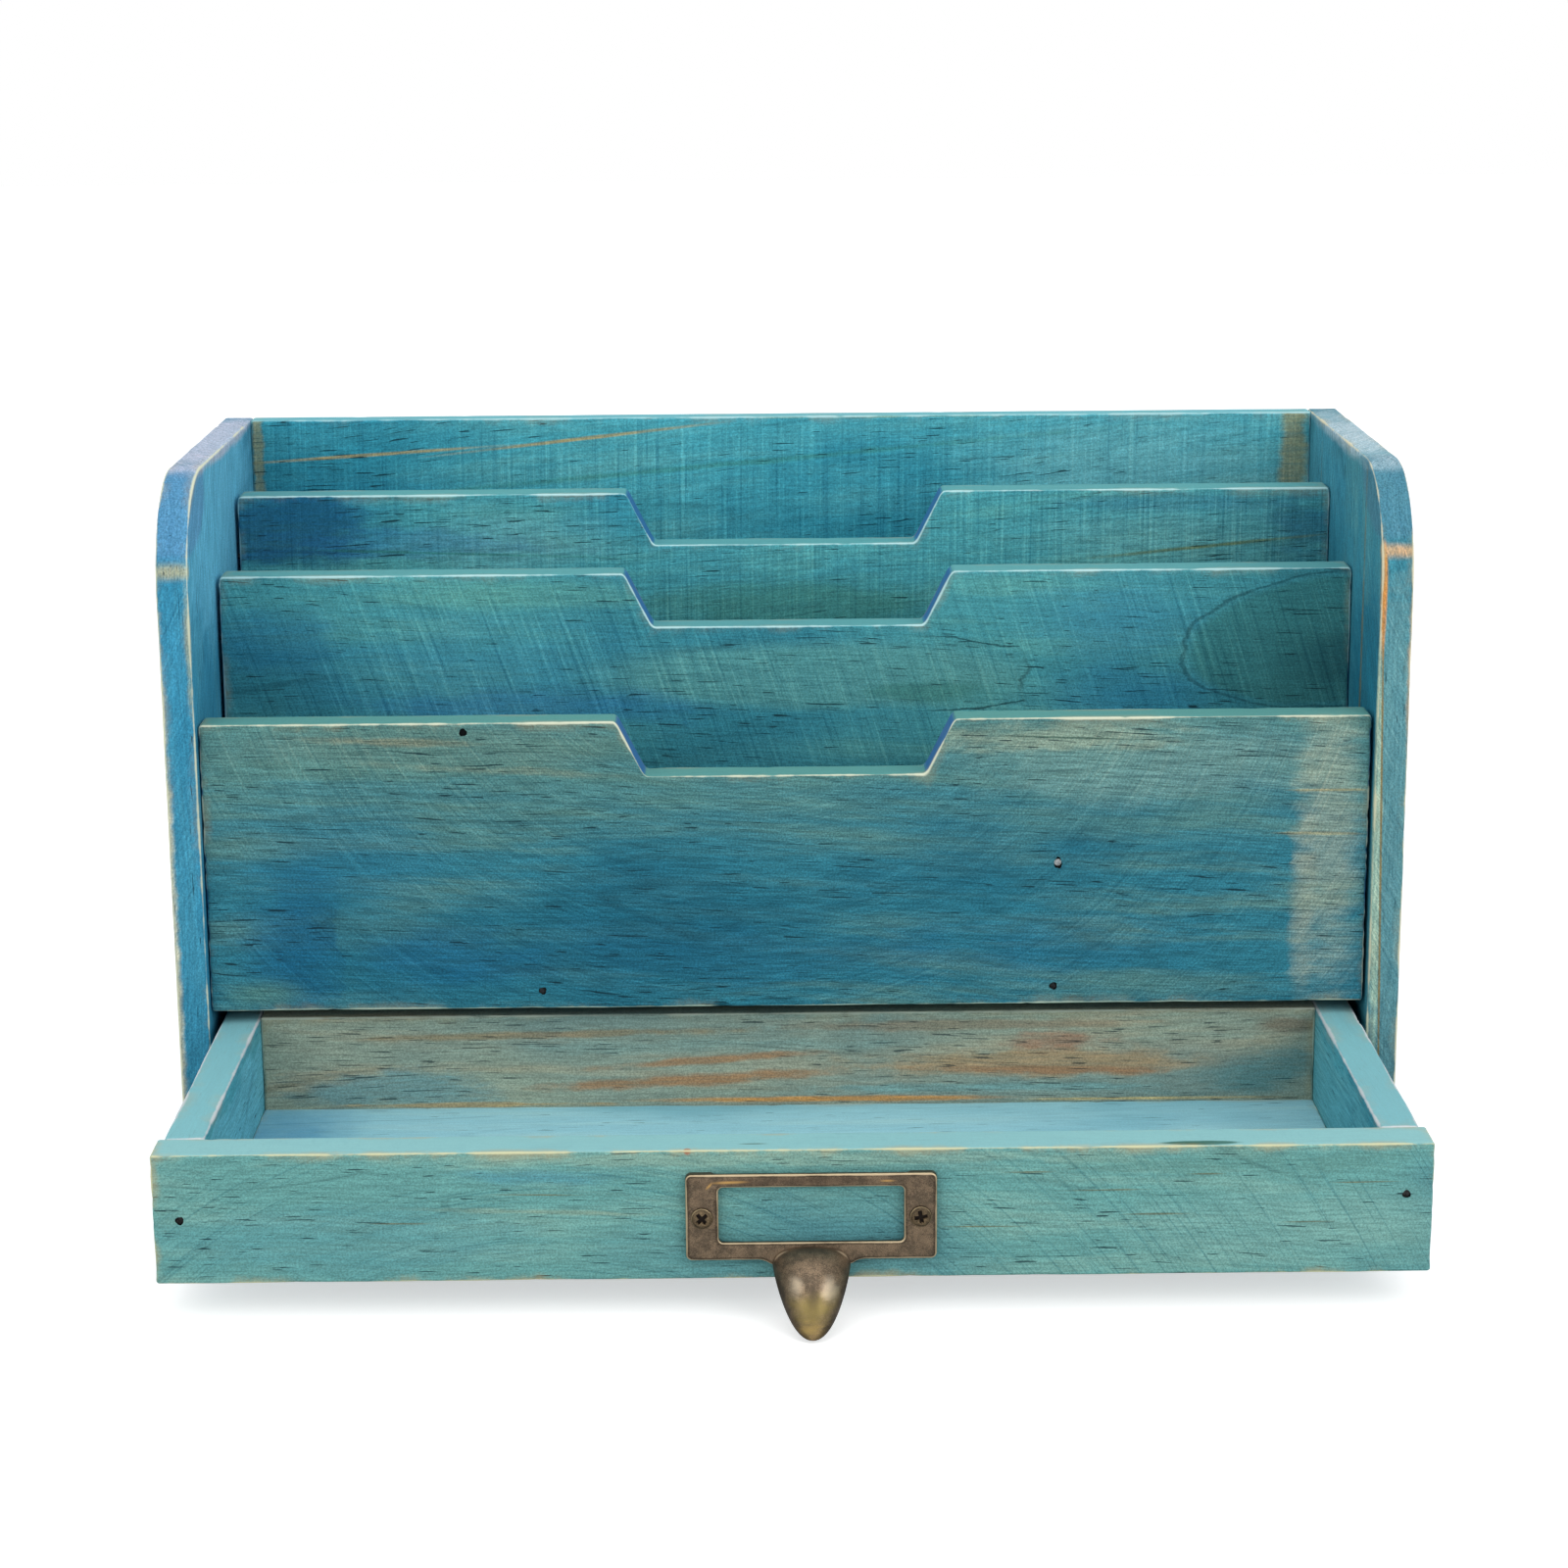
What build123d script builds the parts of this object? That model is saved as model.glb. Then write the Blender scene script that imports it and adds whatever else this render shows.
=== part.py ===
"""Envelope sorter with one drawer: nailed pine boards, three mail slots and a drawer with a label pull.

The frame is millimetres, +X right, +Y back and +Z up. The origin is the middle of the carcass's
footprint, on the surface that it stands on. The drawer is modelled pulled out, as the sorter is shown.
"""
import math
import os

from build123d import *

# ---------------------------------------------------------------- driving dimensions, millimetres
carcass_width = 330.0
carcass_depth = 129.0
carcass_height = 190.5
side_thickness = 8.5
side_corner_radius = 30.0
back_thickness = 7.0
base_thickness = 9.0
shelf_thickness = 10.0
front_thickness = 10.0
divider_thickness = 10.0
front_inset = 3.0            # cross boards lie this far behind the front edges of the sides
front_slot = 30.5            # clear slot between the front panel and the middle divider
middle_slot = 30.0           # clear slot between the two dividers
front_panel_height = 79.5
middle_rise = 32.5           # how far the middle divider stands above the front panel
rear_rise = 16.0             # how far the rear divider stands above the middle one
end_gap_tight = 0.2          # board ends that touch or nearly touch a side
end_gap_loose = 1.0          # the open end of a divider cut short
front_gap_loose = 0.7        # the open end of the front panel

notch_width = 90.0
notch_floor_width = 75.0
notch_depth = 15.0
notch_corner_radius = 1.5
front_notch_offset = -0.4    # each notch was marked out by hand, a little off the middle
middle_notch_offset = 1.0
rear_notch_offset = 0.4
arris_radius = 0.8           # sanded edges of every board

drawer_height = 33.2
drawer_opening = 103.6       # how far the drawer is pulled out from closed
drawer_side_play = 0.9       # between each end of the drawer front and the carcass side
drawer_running_gap = 0.3     # under the drawer
drawer_headroom = 3.5        # over the drawer
drawer_rear_gap = 0.5        # behind the closed drawer
drawer_front_thickness = 12.0
drawer_front_overhang = 1.6  # past the outer face of each drawer side
drawer_side_thickness = 10.0
drawer_back_thickness = 10.0
drawer_bottom_thickness = 5.0
drawer_bottom_recess = 2.0   # the bottom board's underside above the lower edges of the drawer

brad_radius = 0.6
brad_head_radius = 0.95
brad_head_thickness = 0.6
brad_sink = 0.7
brad_point = 1.2
brad_clearance = 0.03
carcass_brad_length = 22.0
drawer_brad_length = 24.0
stray_brad_length = 8.0
brad_end_margin = 18.0       # from a board's end or edge to its first brad
shelf_brad_left = -66.5      # across, where the front panel is nailed to the shelf
shelf_brad_right = 71.7
left_front_brad_rise = 16.4   # brads of the drawer front above its lower edge
right_front_brad_rise = 20.2
back_brad_margin = 9.0
stray_brad_across = 72.6
stray_brad_down = 40.0       # below the top of the front panel
pilot_across = -86.0
pilot_down = 2.6
pilot_depth = 6.0

pull_width = 61.0
pull_height = 22.0
pull_offset = 4.3            # the pull sits a little right of the middle
pull_depth = 2.2             # front face of the frame above the wood
pull_sheet = 1.2
pull_rim = 1.2
pull_corner_radius = 1.5
pull_edge_radius = 0.6
window_width = 45.0
window_height = 14.2
window_rise = 0.6            # window centre above the frame centre
window_corner_radius = 1.2
card_slot_width = 48.0
screw_spacing = 53.1
screw_head_radius = 2.7
screw_head_height = 1.4
screw_shank_radius = 1.3
screw_length = 10.0
screw_clearance = 0.05
screw_boss_radius = 2.6
cross_length = 3.0
cross_width = 0.8
cross_depth = 0.8
tongue_half_width = 9.4
tongue_length = 20.0
tongue_droop = 26.0          # degrees below level
tongue_root_drop = 16.0      # root of the tongue's axis below the middle of the pull
tongue_sheet = 1.1
tongue_fullness = 0.50       # 0 gives a cone, 1 a blunt cylinder
web_width = 25.0
web_drop = 3.4

# ---------------------------------------------------------------- places worked out from them
front_y = -carcass_depth / 2
back_y = carcass_depth / 2
inner_half = carcass_width / 2 - side_thickness
cross_front_y = front_y + front_inset
front_rear_y = cross_front_y + front_thickness
middle_front_y = front_rear_y + front_slot
rear_front_y = middle_front_y + divider_thickness + middle_slot
back_front_y = back_y - back_thickness

drawer_low_z = base_thickness + drawer_running_gap
drawer_top_z = drawer_low_z + drawer_height
shelf_low_z = drawer_top_z + drawer_headroom
shelf_top_z = shelf_low_z + shelf_thickness
front_top_z = shelf_low_z + front_panel_height
middle_top_z = front_top_z + middle_rise
rear_top_z = middle_top_z + rear_rise

drawer_depth = back_front_y - cross_front_y - drawer_rear_gap
drawer_y = cross_front_y - drawer_opening
drawer_end_y = drawer_y + drawer_depth
drawer_inside_y = drawer_y + drawer_front_thickness
drawer_back_y = drawer_end_y - drawer_back_thickness
drawer_front_half = inner_half - drawer_side_play
drawer_outer_half = drawer_front_half - drawer_front_overhang
drawer_inner_half = drawer_outer_half - drawer_side_thickness
drawer_bottom_z = drawer_low_z + drawer_bottom_recess
pull_z = drawer_low_z + drawer_height / 2


def board(low, high):
    """A plain board between two corners, with every arris sanded round."""
    size = [b - a for a, b in zip(low, high)]
    middle = [(a + b) / 2 for a, b in zip(low, high)]
    solid = Pos(*middle) * Box(*size)
    return fillet(solid.edges(), min(arris_radius, min(size) / 3))


def notched_board(x_low, x_high, y_front, thickness, z_low, z_high, offset):
    """A board standing across the sorter with the finger notch in its top edge."""
    half = notch_width / 2
    floor_half = notch_floor_width / 2
    floor_z = z_high - notch_depth
    points = [
        (x_low, z_low),
        (x_high, z_low),
        (x_high, z_high),
        (offset + half, z_high),
        (offset + floor_half, floor_z),
        (offset - floor_half, floor_z),
        (offset - half, z_high),
        (x_low, z_high),
    ]
    plane = Plane(origin=(0, y_front, 0), x_dir=(1, 0, 0), z_dir=(0, -1, 0))
    outline = make_face(Polyline(*points, close=True))
    notch = [v for v in outline.vertices() if min(v.X - x_low, x_high - v.X) > arris_radius]
    outline = fillet(notch, notch_corner_radius)
    ends = [v for v in outline.vertices() if min(v.X - x_low, x_high - v.X) < arris_radius]
    outline = fillet(ends, arris_radius)
    solid = extrude(plane * outline, amount=-thickness)
    faces = solid.faces().sort_by(Axis.Y)
    return fillet(faces[0].edges() + faces[-1].edges(), min(arris_radius, thickness / 3))


def side_board(x_low):
    """A carcass side: upright, with its upper front corner cut to a quarter round."""
    plane = Plane(origin=(x_low, 0, 0), x_dir=(0, 1, 0), z_dir=(1, 0, 0))
    outline = make_face(
        Polyline(
            (front_y, 0),
            (back_y, 0),
            (back_y, carcass_height),
            (front_y, carcass_height),
            close=True,
        )
    )
    upper_front = outline.vertices().sort_by(Axis.Y)[-2:].sort_by(Axis.X)[0]
    outline = fillet(upper_front, side_corner_radius)
    square = [v for v in outline.vertices() if v.X > back_y - 1 or v.Y < 1]
    outline = fillet(square, arris_radius)
    solid = extrude(plane * outline, amount=side_thickness)
    faces = solid.faces().sort_by(Axis.X)
    return fillet(faces[0].edges() + faces[-1].edges(), min(arris_radius, side_thickness / 3))


def brad(point, into, length):
    """One brad driven at a point of a face, and the hole that it leaves: (brad, hole)."""
    place = Plane(origin=point, z_dir=into).location
    foot = (Align.CENTER, Align.CENTER, Align.MIN)
    head_end = brad_sink + brad_head_thickness
    straight = length - head_end - brad_point
    head = Pos(0, 0, brad_sink) * Cylinder(brad_head_radius, brad_head_thickness, align=foot)
    shank = Pos(0, 0, head_end) * Cylinder(brad_radius, straight, align=foot)
    point_cone = Pos(0, 0, head_end + straight) * Cone(brad_radius, 0.1, brad_point, align=foot)
    mouth_radius = brad_head_radius + brad_clearance
    mouth = Pos(0, 0, -1) * Cylinder(mouth_radius, head_end + 1, align=foot)
    bore_depth = length + brad_clearance
    bore = Cylinder(brad_radius + brad_clearance, bore_depth, align=foot)
    return place * (head + shank + point_cone), place * (mouth + bore)


def drive(nodes, group, points, into, length):
    """Drive a group of brads: cut their holes from the boards named and keep the brads as one node."""
    solids = []
    for point, names in points:
        pin, hole = brad(point, into, length)
        solids.append(pin)
        for name in names:
            nodes[name] = nodes[name] - hole
    nodes[group] = solids


def carcass(nodes):
    """The fixed box: two sides, back, base, slot shelf, front panel and two dividers."""
    nodes["left_side"] = side_board(-carcass_width / 2)
    nodes["right_side"] = side_board(inner_half)
    nodes["back_panel"] = board((-inner_half, back_front_y, 0), (inner_half, back_y, carcass_height))
    nodes["base_board"] = board(
        (-inner_half, cross_front_y, 0), (inner_half, back_front_y, base_thickness)
    )
    nodes["slot_shelf"] = board(
        (-inner_half, front_rear_y, shelf_low_z), (inner_half, back_front_y, shelf_top_z)
    )
    nodes["front_panel"] = notched_board(
        -inner_half + end_gap_tight,
        inner_half - front_gap_loose,
        cross_front_y,
        front_thickness,
        shelf_low_z,
        front_top_z,
        front_notch_offset,
    )
    for name, y_front, z_top, offset in (
        ("middle_divider", middle_front_y, middle_top_z, middle_notch_offset),
        ("rear_divider", rear_front_y, rear_top_z, rear_notch_offset),
    ):
        nodes[name] = notched_board(
            -inner_half + end_gap_loose,
            inner_half - end_gap_tight,
            y_front,
            divider_thickness,
            shelf_top_z,
            z_top,
            offset,
        )


def carcass_brads(nodes):
    """Brads through each side into the board ends, through the back, and into the shelf's front edge."""
    margin = brad_end_margin
    front_mid_y = cross_front_y + front_thickness / 2
    middle_mid_y = middle_front_y + divider_thickness / 2
    rear_mid_y = rear_front_y + divider_thickness / 2
    back_mid_y = back_front_y + back_thickness / 2
    shelf_mid_z = shelf_low_z + shelf_thickness / 2
    base_mid_z = base_thickness / 2
    shelf_ys = (front_rear_y + margin, back_front_y - margin)
    base_ys = (cross_front_y + margin, back_front_y - margin)
    ends = [(front_mid_y, z, "front_panel") for z in (shelf_low_z + margin, front_top_z - margin)]
    ends += [(middle_mid_y, z, "middle_divider") for z in (shelf_top_z + margin, middle_top_z - margin)]
    ends += [(rear_mid_y, z, "rear_divider") for z in (shelf_top_z + margin, rear_top_z - margin)]
    ends += [(back_mid_y, z, "back_panel") for z in (margin, carcass_height / 2, carcass_height - margin)]
    ends += [(y, shelf_mid_z, "slot_shelf") for y in shelf_ys]
    ends += [(y, base_mid_z, "base_board") for y in base_ys]
    for side, sign in (("left_side", -1), ("right_side", 1)):
        points = [((sign * carcass_width / 2, y, z), (side, name)) for y, z, name in ends]
        drive(nodes, side + "_brads", points, (-sign, 0, 0), carcass_brad_length)

    across = inner_half - brad_end_margin * 2
    back_points = [
        ((x, back_y, z), ("back_panel", name))
        for z, name in ((shelf_mid_z, "slot_shelf"), (base_mid_z, "base_board"))
        for x in (-across, 0, across)
    ]
    drive(nodes, "back_panel_brads", back_points, (0, -1, 0), carcass_brad_length)

    front_points = [
        ((x, cross_front_y, shelf_mid_z), ("front_panel", "slot_shelf"))
        for x in (shelf_brad_left, shelf_brad_right)
    ]
    drive(nodes, "front_panel_brads", front_points, (0, 1, 0), carcass_brad_length)

    stray_point = (stray_brad_across, cross_front_y, front_top_z - stray_brad_down)
    drive(nodes, "stray_brad", [(stray_point, ("front_panel",))], (0, 1, 0), stray_brad_length)
    pilot_point = (pilot_across, cross_front_y, front_top_z - pilot_down)
    pilot_place = Plane(origin=pilot_point, z_dir=(0, 1, 0)).location
    pilot = pilot_place * Cylinder(brad_radius, pilot_depth * 2)
    nodes["front_panel"] = nodes["front_panel"] - pilot


def drawer(nodes):
    """The drawer box: front, two sides, back and a bottom board let in between them."""
    low = drawer_low_z
    top = drawer_top_z
    nodes["drawer_front"] = board(
        (-drawer_front_half, drawer_y, low), (drawer_front_half, drawer_inside_y, top)
    )
    nodes["drawer_left_side"] = board(
        (-drawer_outer_half, drawer_inside_y, low), (-drawer_inner_half, drawer_end_y, top)
    )
    nodes["drawer_right_side"] = board(
        (drawer_inner_half, drawer_inside_y, low), (drawer_outer_half, drawer_end_y, top)
    )
    nodes["drawer_back"] = board(
        (-drawer_inner_half, drawer_back_y, low), (drawer_inner_half, drawer_end_y, top)
    )
    nodes["drawer_bottom"] = board(
        (-drawer_inner_half, drawer_inside_y, drawer_bottom_z),
        (drawer_inner_half, drawer_back_y, drawer_bottom_z + drawer_bottom_thickness),
    )


def drawer_brads(nodes):
    """Brads through the drawer front and the drawer sides."""
    side_mid = drawer_outer_half - drawer_side_thickness / 2
    left_point = (-side_mid, drawer_y, drawer_low_z + left_front_brad_rise)
    right_point = (side_mid, drawer_y, drawer_low_z + right_front_brad_rise)
    front_points = [
        (left_point, ("drawer_front", "drawer_left_side")),
        (right_point, ("drawer_front", "drawer_right_side")),
    ]
    drive(nodes, "drawer_front_brads", front_points, (0, 1, 0), drawer_brad_length)

    back_mid_y = drawer_back_y + drawer_back_thickness / 2
    bottom_mid_z = drawer_bottom_z + drawer_bottom_thickness / 2
    back_zs = (drawer_low_z + back_brad_margin, drawer_top_z - back_brad_margin)
    bottom_ys = (drawer_inside_y + brad_end_margin, drawer_back_y - brad_end_margin)
    for side, sign in (("drawer_left_side", -1), ("drawer_right_side", 1)):
        x = sign * drawer_outer_half
        points = [((x, back_mid_y, z), (side, "drawer_back")) for z in back_zs]
        points += [((x, y, bottom_mid_z), (side, "drawer_bottom")) for y in bottom_ys]
        drive(nodes, side + "_brads", points, (-sign, 0, 0), drawer_brad_length)


def tongue_lobe(half_width, length):
    """A round-nosed bullet about its own +Z axis, from its root plane back to its nose."""
    full = tongue_fullness
    nose = Bezier(
        (half_width, 0, 0),
        (half_width, 0, length * full),
        (half_width * full, 0, length),
        (0, 0, length),
    )
    tail = length * 0.5
    outline = nose + Polyline((0, 0, length), (0, 0, -tail), (half_width, 0, -tail), (half_width, 0, 0))
    return revolve(make_face(outline), Axis.Z)


def label_pull(nodes):
    """A stamped label frame with a hollow finger tongue under it, and its two screws."""
    face = Plane(origin=(pull_offset, drawer_y, pull_z), x_dir=(1, 0, 0), z_dir=(0, -1, 0))
    foot = (Align.CENTER, Align.CENTER, Align.MIN)

    plate = extrude(RectangleRounded(pull_width, pull_height, pull_corner_radius), amount=pull_depth)
    plate = fillet(plate.faces().sort_by(Axis.Z)[-1].edges(), pull_edge_radius)
    web_low = -pull_height / 2 - web_drop
    web_top = -pull_height / 2 + pull_rim
    web = make_face(
        Polyline(
            (-web_width / 2, web_top),
            (-web_width / 2, -pull_height / 2),
            (-tongue_half_width + pull_rim, web_low),
            (tongue_half_width - pull_rim, web_low),
            (web_width / 2, -pull_height / 2),
            (web_width / 2, web_top),
            close=True,
        )
    )
    plate += extrude(web, amount=pull_sheet)

    pocket_depth = pull_depth - pull_sheet
    pocket = extrude(Rectangle(pull_width - 2 * pull_rim, pull_height - 2 * pull_rim), amount=pocket_depth)
    card_slot = Pos(0, pull_height / 2, 0) * Box(card_slot_width, 3 * pull_rim, pocket_depth, align=foot)
    boss_places = Locations((-screw_spacing / 2, 0), (screw_spacing / 2, 0)).locations
    bosses = [place * Cylinder(screw_boss_radius, pocket_depth, align=foot) for place in boss_places]
    pocket = pocket + card_slot - bosses
    window = Pos(0, window_rise, 0) * extrude(
        RectangleRounded(window_width, window_height, window_corner_radius), amount=pull_depth
    )
    hole_radius = screw_shank_radius + screw_clearance
    screw_holes = [place * Cylinder(hole_radius, pull_depth * 2) for place in boss_places]
    plate = plate - pocket - window - screw_holes

    droop = math.radians(tongue_droop)
    axis_out = (0, -math.sin(droop), math.cos(droop))
    tongue_plane = Plane(origin=(0, -tongue_root_drop, 0), x_dir=(1, 0, 0), z_dir=axis_out)
    shell = tongue_lobe(tongue_half_width, tongue_length) - tongue_lobe(
        tongue_half_width - tongue_sheet, tongue_length - tongue_sheet
    )
    reach = 3 * tongue_length
    above_lip = Box(reach, reach, reach, align=(Align.CENTER, Align.MIN, Align.CENTER))
    shell = tongue_plane.location * (shell & above_lip)
    before_wood = Box(reach, reach, reach, align=foot)
    under = (Align.CENTER, Align.MAX, Align.CENTER)
    under_window = Pos(0, window_rise - window_height / 2, 0) * Box(reach, reach, reach, align=under)
    shell = shell & before_wood & under_window
    hollow = tongue_lobe(tongue_half_width - tongue_sheet, tongue_length - tongue_sheet)
    under_rail = Pos(0, pull_rim - pull_height / 2, 0) * Box(reach, reach, reach, align=under)
    finger_room = tongue_plane.location * (hollow & above_lip) & under_rail
    holder = plate - finger_room + shell
    nodes["label_pull"] = face.location * holder

    screws = []
    for place, turn in zip(boss_places, (42, 10)):
        dome_radius = (screw_head_radius**2 + screw_head_height**2) / (2 * screw_head_height)
        dome = Pos(0, 0, screw_head_height - dome_radius) * Sphere(dome_radius)
        head = dome & Cylinder(screw_head_radius, screw_head_height, align=foot)
        cross = Box(cross_length, cross_width, cross_depth) + Box(cross_width, cross_length, cross_depth)
        head -= Pos(0, 0, screw_head_height) * Rot(0, 0, turn) * cross
        shank_length = screw_length - screw_shank_radius
        shank = Rot(180, 0, 0) * Cylinder(screw_shank_radius, shank_length, align=foot)
        tip = Pos(0, 0, -shank_length) * Rot(180, 0, 0) * Cone(
            screw_shank_radius, 0.1, screw_shank_radius, align=foot
        )
        seat = face.location * place * Pos(0, 0, pull_depth)
        screws.append(seat * (head + shank + tip))
        bore = Cylinder(hole_radius, 2 * (screw_length + screw_clearance))
        nodes["drawer_front"] = nodes["drawer_front"] - seat * bore
    nodes["pull_screws"] = screws


def main():
    """Build every node and write one STEP file for each."""
    nodes = {}
    carcass(nodes)
    carcass_brads(nodes)
    drawer(nodes)
    drawer_brads(nodes)
    label_pull(nodes)
    os.makedirs("parts", exist_ok=True)
    for name, shape in nodes.items():
        pieces = shape if isinstance(shape, list) else [shape]
        solids = [solid for piece in pieces for solid in piece.solids()]
        export_step(Compound(children=solids), f"parts/{name}.step")
    print(len(nodes), "nodes")


main()
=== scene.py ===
"""Envelope sorter with a drawer: pine boards stained blue-green, a bronze label pull, a pale stage."""

import math

import bmesh
import bpy
import numpy as np
from bpy.props import FloatProperty, FloatVectorProperty, PointerProperty
from mathutils import Matrix, Vector


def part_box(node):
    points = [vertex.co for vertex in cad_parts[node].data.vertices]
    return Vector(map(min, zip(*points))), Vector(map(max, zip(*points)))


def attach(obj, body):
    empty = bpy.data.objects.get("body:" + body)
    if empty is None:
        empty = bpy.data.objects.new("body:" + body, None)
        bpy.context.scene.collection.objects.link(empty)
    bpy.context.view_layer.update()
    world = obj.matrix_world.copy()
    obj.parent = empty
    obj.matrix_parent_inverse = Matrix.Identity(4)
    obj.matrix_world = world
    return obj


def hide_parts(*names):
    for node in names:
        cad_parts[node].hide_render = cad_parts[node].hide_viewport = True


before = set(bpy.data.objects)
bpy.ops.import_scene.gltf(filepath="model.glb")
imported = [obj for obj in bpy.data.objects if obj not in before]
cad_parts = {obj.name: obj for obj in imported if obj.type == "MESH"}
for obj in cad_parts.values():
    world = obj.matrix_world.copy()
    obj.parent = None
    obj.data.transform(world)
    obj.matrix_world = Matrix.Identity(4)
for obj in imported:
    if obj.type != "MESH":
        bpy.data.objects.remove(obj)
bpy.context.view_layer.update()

bl_info = {
    "name": "Envelope Sorter",
    "version": (1, 0, 0),
    "blender": (4, 5, 0),
    "location": "View3D > Sidebar > Sorter",
    "description": "Builds a stained pine envelope sorter with a drawer around its packed frame",
    "category": "Object",
}

MM = 0.001


def shade(code):
    """A written #rrggbb colour as the linear colour that a shader takes."""
    parts = np.array([int(code[i:i + 2], 16) for i in (1, 3, 5)]) / 255.0
    linear = np.where(parts <= 0.04045, parts / 12.92, ((parts + 0.055) / 1.055) ** 2.4)
    return tuple(float(part) for part in linear)


def tone_property(name, code, description):
    """A colour setting, written as #rrggbb."""
    return FloatVectorProperty(name=name, description=description, default=shade(code), size=3,
                               min=0.0, max=1.0, subtype="COLOR")


def length_property(name, millimetres, description):
    """A length setting, given in millimetres and kept in metres."""
    return FloatProperty(name=name, description=description, default=millimetres * MM, unit="LENGTH")


# ---------------------------------------------------------------------------------------- settings


class SorterBoards(bpy.types.PropertyGroup):
    """Sizes of the sawn boards that the frame's boxes don't give."""

    arris: length_property("Arris", 0.75, "Radius that the long arrises are rubbed down to")
    soft_end: length_property("Soft end", 1.1, "Radius of a notched board's upper end corners")
    side_corner: length_property("Side corner", 30.0, "Radius of a side's upper front corner")
    notch_top: length_property("Notch mouth", 90.0, "Width of the hand notch along the top edge")
    notch_floor: length_property("Notch floor", 75.0, "Width of the hand notch along its floor")
    notch_depth: length_property("Notch depth", 15.0, "Depth of the hand notch")
    notch_ease: length_property("Notch ease", 0.9, "Half the width over which a notch corner is eased")
    station: length_property("Station", 1.5, "Step between the stations along a board")
    row: length_property("Row", 6.0, "Step between the rows across a board's face")
    pit_radius: length_property("Pit radius", 1.05, "Radius of the pit over a sunk brad")
    pit_depth: length_property("Pit depth", 0.75, "Depth of the pit over a sunk brad")


class SorterPull(bpy.types.PropertyGroup):
    """Sizes of the label pull and its screws, from the middle of its frame."""

    width: length_property("Width", 61.0, "Width of the label frame")
    height: length_property("Height", 22.0, "Height of the label frame")
    corner: length_property("Corner", 1.5, "Radius of the frame's corners")
    depth: length_property("Depth", 2.2, "Front of the frame before the wood")
    sheet: length_property("Sheet", 1.1, "Thickness of the pressed metal")
    edge: length_property("Edge", 0.55, "Radius that the frame's edges are pressed and rubbed to")
    window_width: length_property("Window width", 45.0, "Width of the label window")
    window_height: length_property("Window height", 14.2, "Height of the label window")
    window_rise: length_property("Window rise", 0.6, "Middle of the window above the frame's middle")
    window_corner: length_property("Window corner", 1.2, "Radius of the window's corners")
    card_width: length_property("Card slot", 48.0, "Width of the slot that a card drops into")
    web: length_property("Web", 1.5, "How far the lower edge dips where it runs into the tongue")
    web_half: length_property("Web half width", 9.4, "Half the width over which the lower edge is dipped")
    web_ease: length_property("Web ease", 3.6, "Width over which the dip comes in")
    tongue_half: length_property("Tongue half width", 9.6, "Half the width of the finger tongue at its root")
    tongue_crown: length_property("Tongue crown", 7.6, "Top of the tongue's root below the middle")
    tongue_rim: length_property("Tongue rim", 12.0, "Lower ends of the tongue's root below the middle")
    tongue_tip: length_property("Tongue tip", 25.25, "Tip of the tongue below the middle")
    tongue_reach: length_property("Tongue reach", 18.4, "Tip of the tongue before the wood")
    screw_spacing: length_property("Screw spacing", 53.1, "Distance between the two screws")
    screw_radius: length_property("Screw radius", 2.7, "Radius of a screw's head")
    screw_height: length_property("Screw height", 1.15, "Height of a screw's head")
    cross_half: length_property("Cross half length", 1.6, "Half the length of a screw's cross recess")
    cross_wide: length_property("Cross half width", 0.46, "Half the width of a screw's cross recess")


class SorterStainAndShade(bpy.types.PropertyGroup):
    """Colours that every board's finish shares: stain in the pores, bare wood beside an arris, and painted
    shade inside the brads' pits.
    """

    pore: tone_property("Pore", "#0d2730", "Stain gathered in the pores")
    tan: tone_property("Tan", "#b39a69", "Older bare wood beside an arris")
    # The pit tone is painted shade: the near-black inside of a brad's pit.
    pit: tone_property("Pit", "#0b1012", "Inside of a brad's pit")


class SorterStage(bpy.types.PropertyGroup):
    """Camera, lamps and floor."""

    lens: FloatProperty(name="Lens", description="Focal length in millimetres on a 36 mm sensor",
                        default=78.0)
    camera_place: FloatVectorProperty(name="Camera", description="Place of the camera", size=3,
                                      default=(-6.72 * MM, -941.56 * MM, 324.56 * MM), subtype="XYZ",
                                      unit="LENGTH")
    yaw: FloatProperty(name="Yaw", description="Turn of the camera to the right",
                       default=math.radians(0.385), unit="ROTATION")
    pitch: FloatProperty(name="Pitch", description="Tilt of the camera downwards",
                         default=math.radians(13.823), unit="ROTATION")
    roll: FloatProperty(name="Roll", description="Roll of the camera", default=math.radians(-0.4403),
                        unit="ROTATION")
    ambient: FloatProperty(name="Ambient", description="Strength of the white surroundings", default=0.72)
    right_power: FloatProperty(name="Right lamp", description="Watts of the lamp at the front right",
                               default=11.0)
    left_power: FloatProperty(name="Left lamp", description="Watts of the lamp at the front left",
                              default=7.0)
    top_power: FloatProperty(name="Top lamp", description="Watts of the lamp overhead", default=5.0)


# ------------------------------------------------------------------------------------ mesh helpers


# Signs of a profile's corners along its breadth and its height, counter-clockwise.
CORNERS = ((1, -1), (1, 1), (-1, 1), (-1, -1))
# Ways in from a corner's arc at which a profile has points.
NEAR_WAYS = (0.4 * MM, 1.2 * MM, 2.6 * MM, 5.2 * MM, 9.0 * MM)
# Insets of the rings over a board's end.
END_INSETS = (9.0 * MM, 4.6 * MM, 2.2 * MM, 1.0 * MM, 0.35 * MM)
# Rings over the round arris of a board's end.
END_RINGS = 5
# Radius from which a corner is sawn round and isn't an arris.
SAWN_ROUND = 5.0 * MM
# Arris value inside a pit, where nothing is rubbed.
UNRUBBED = 20.0


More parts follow.
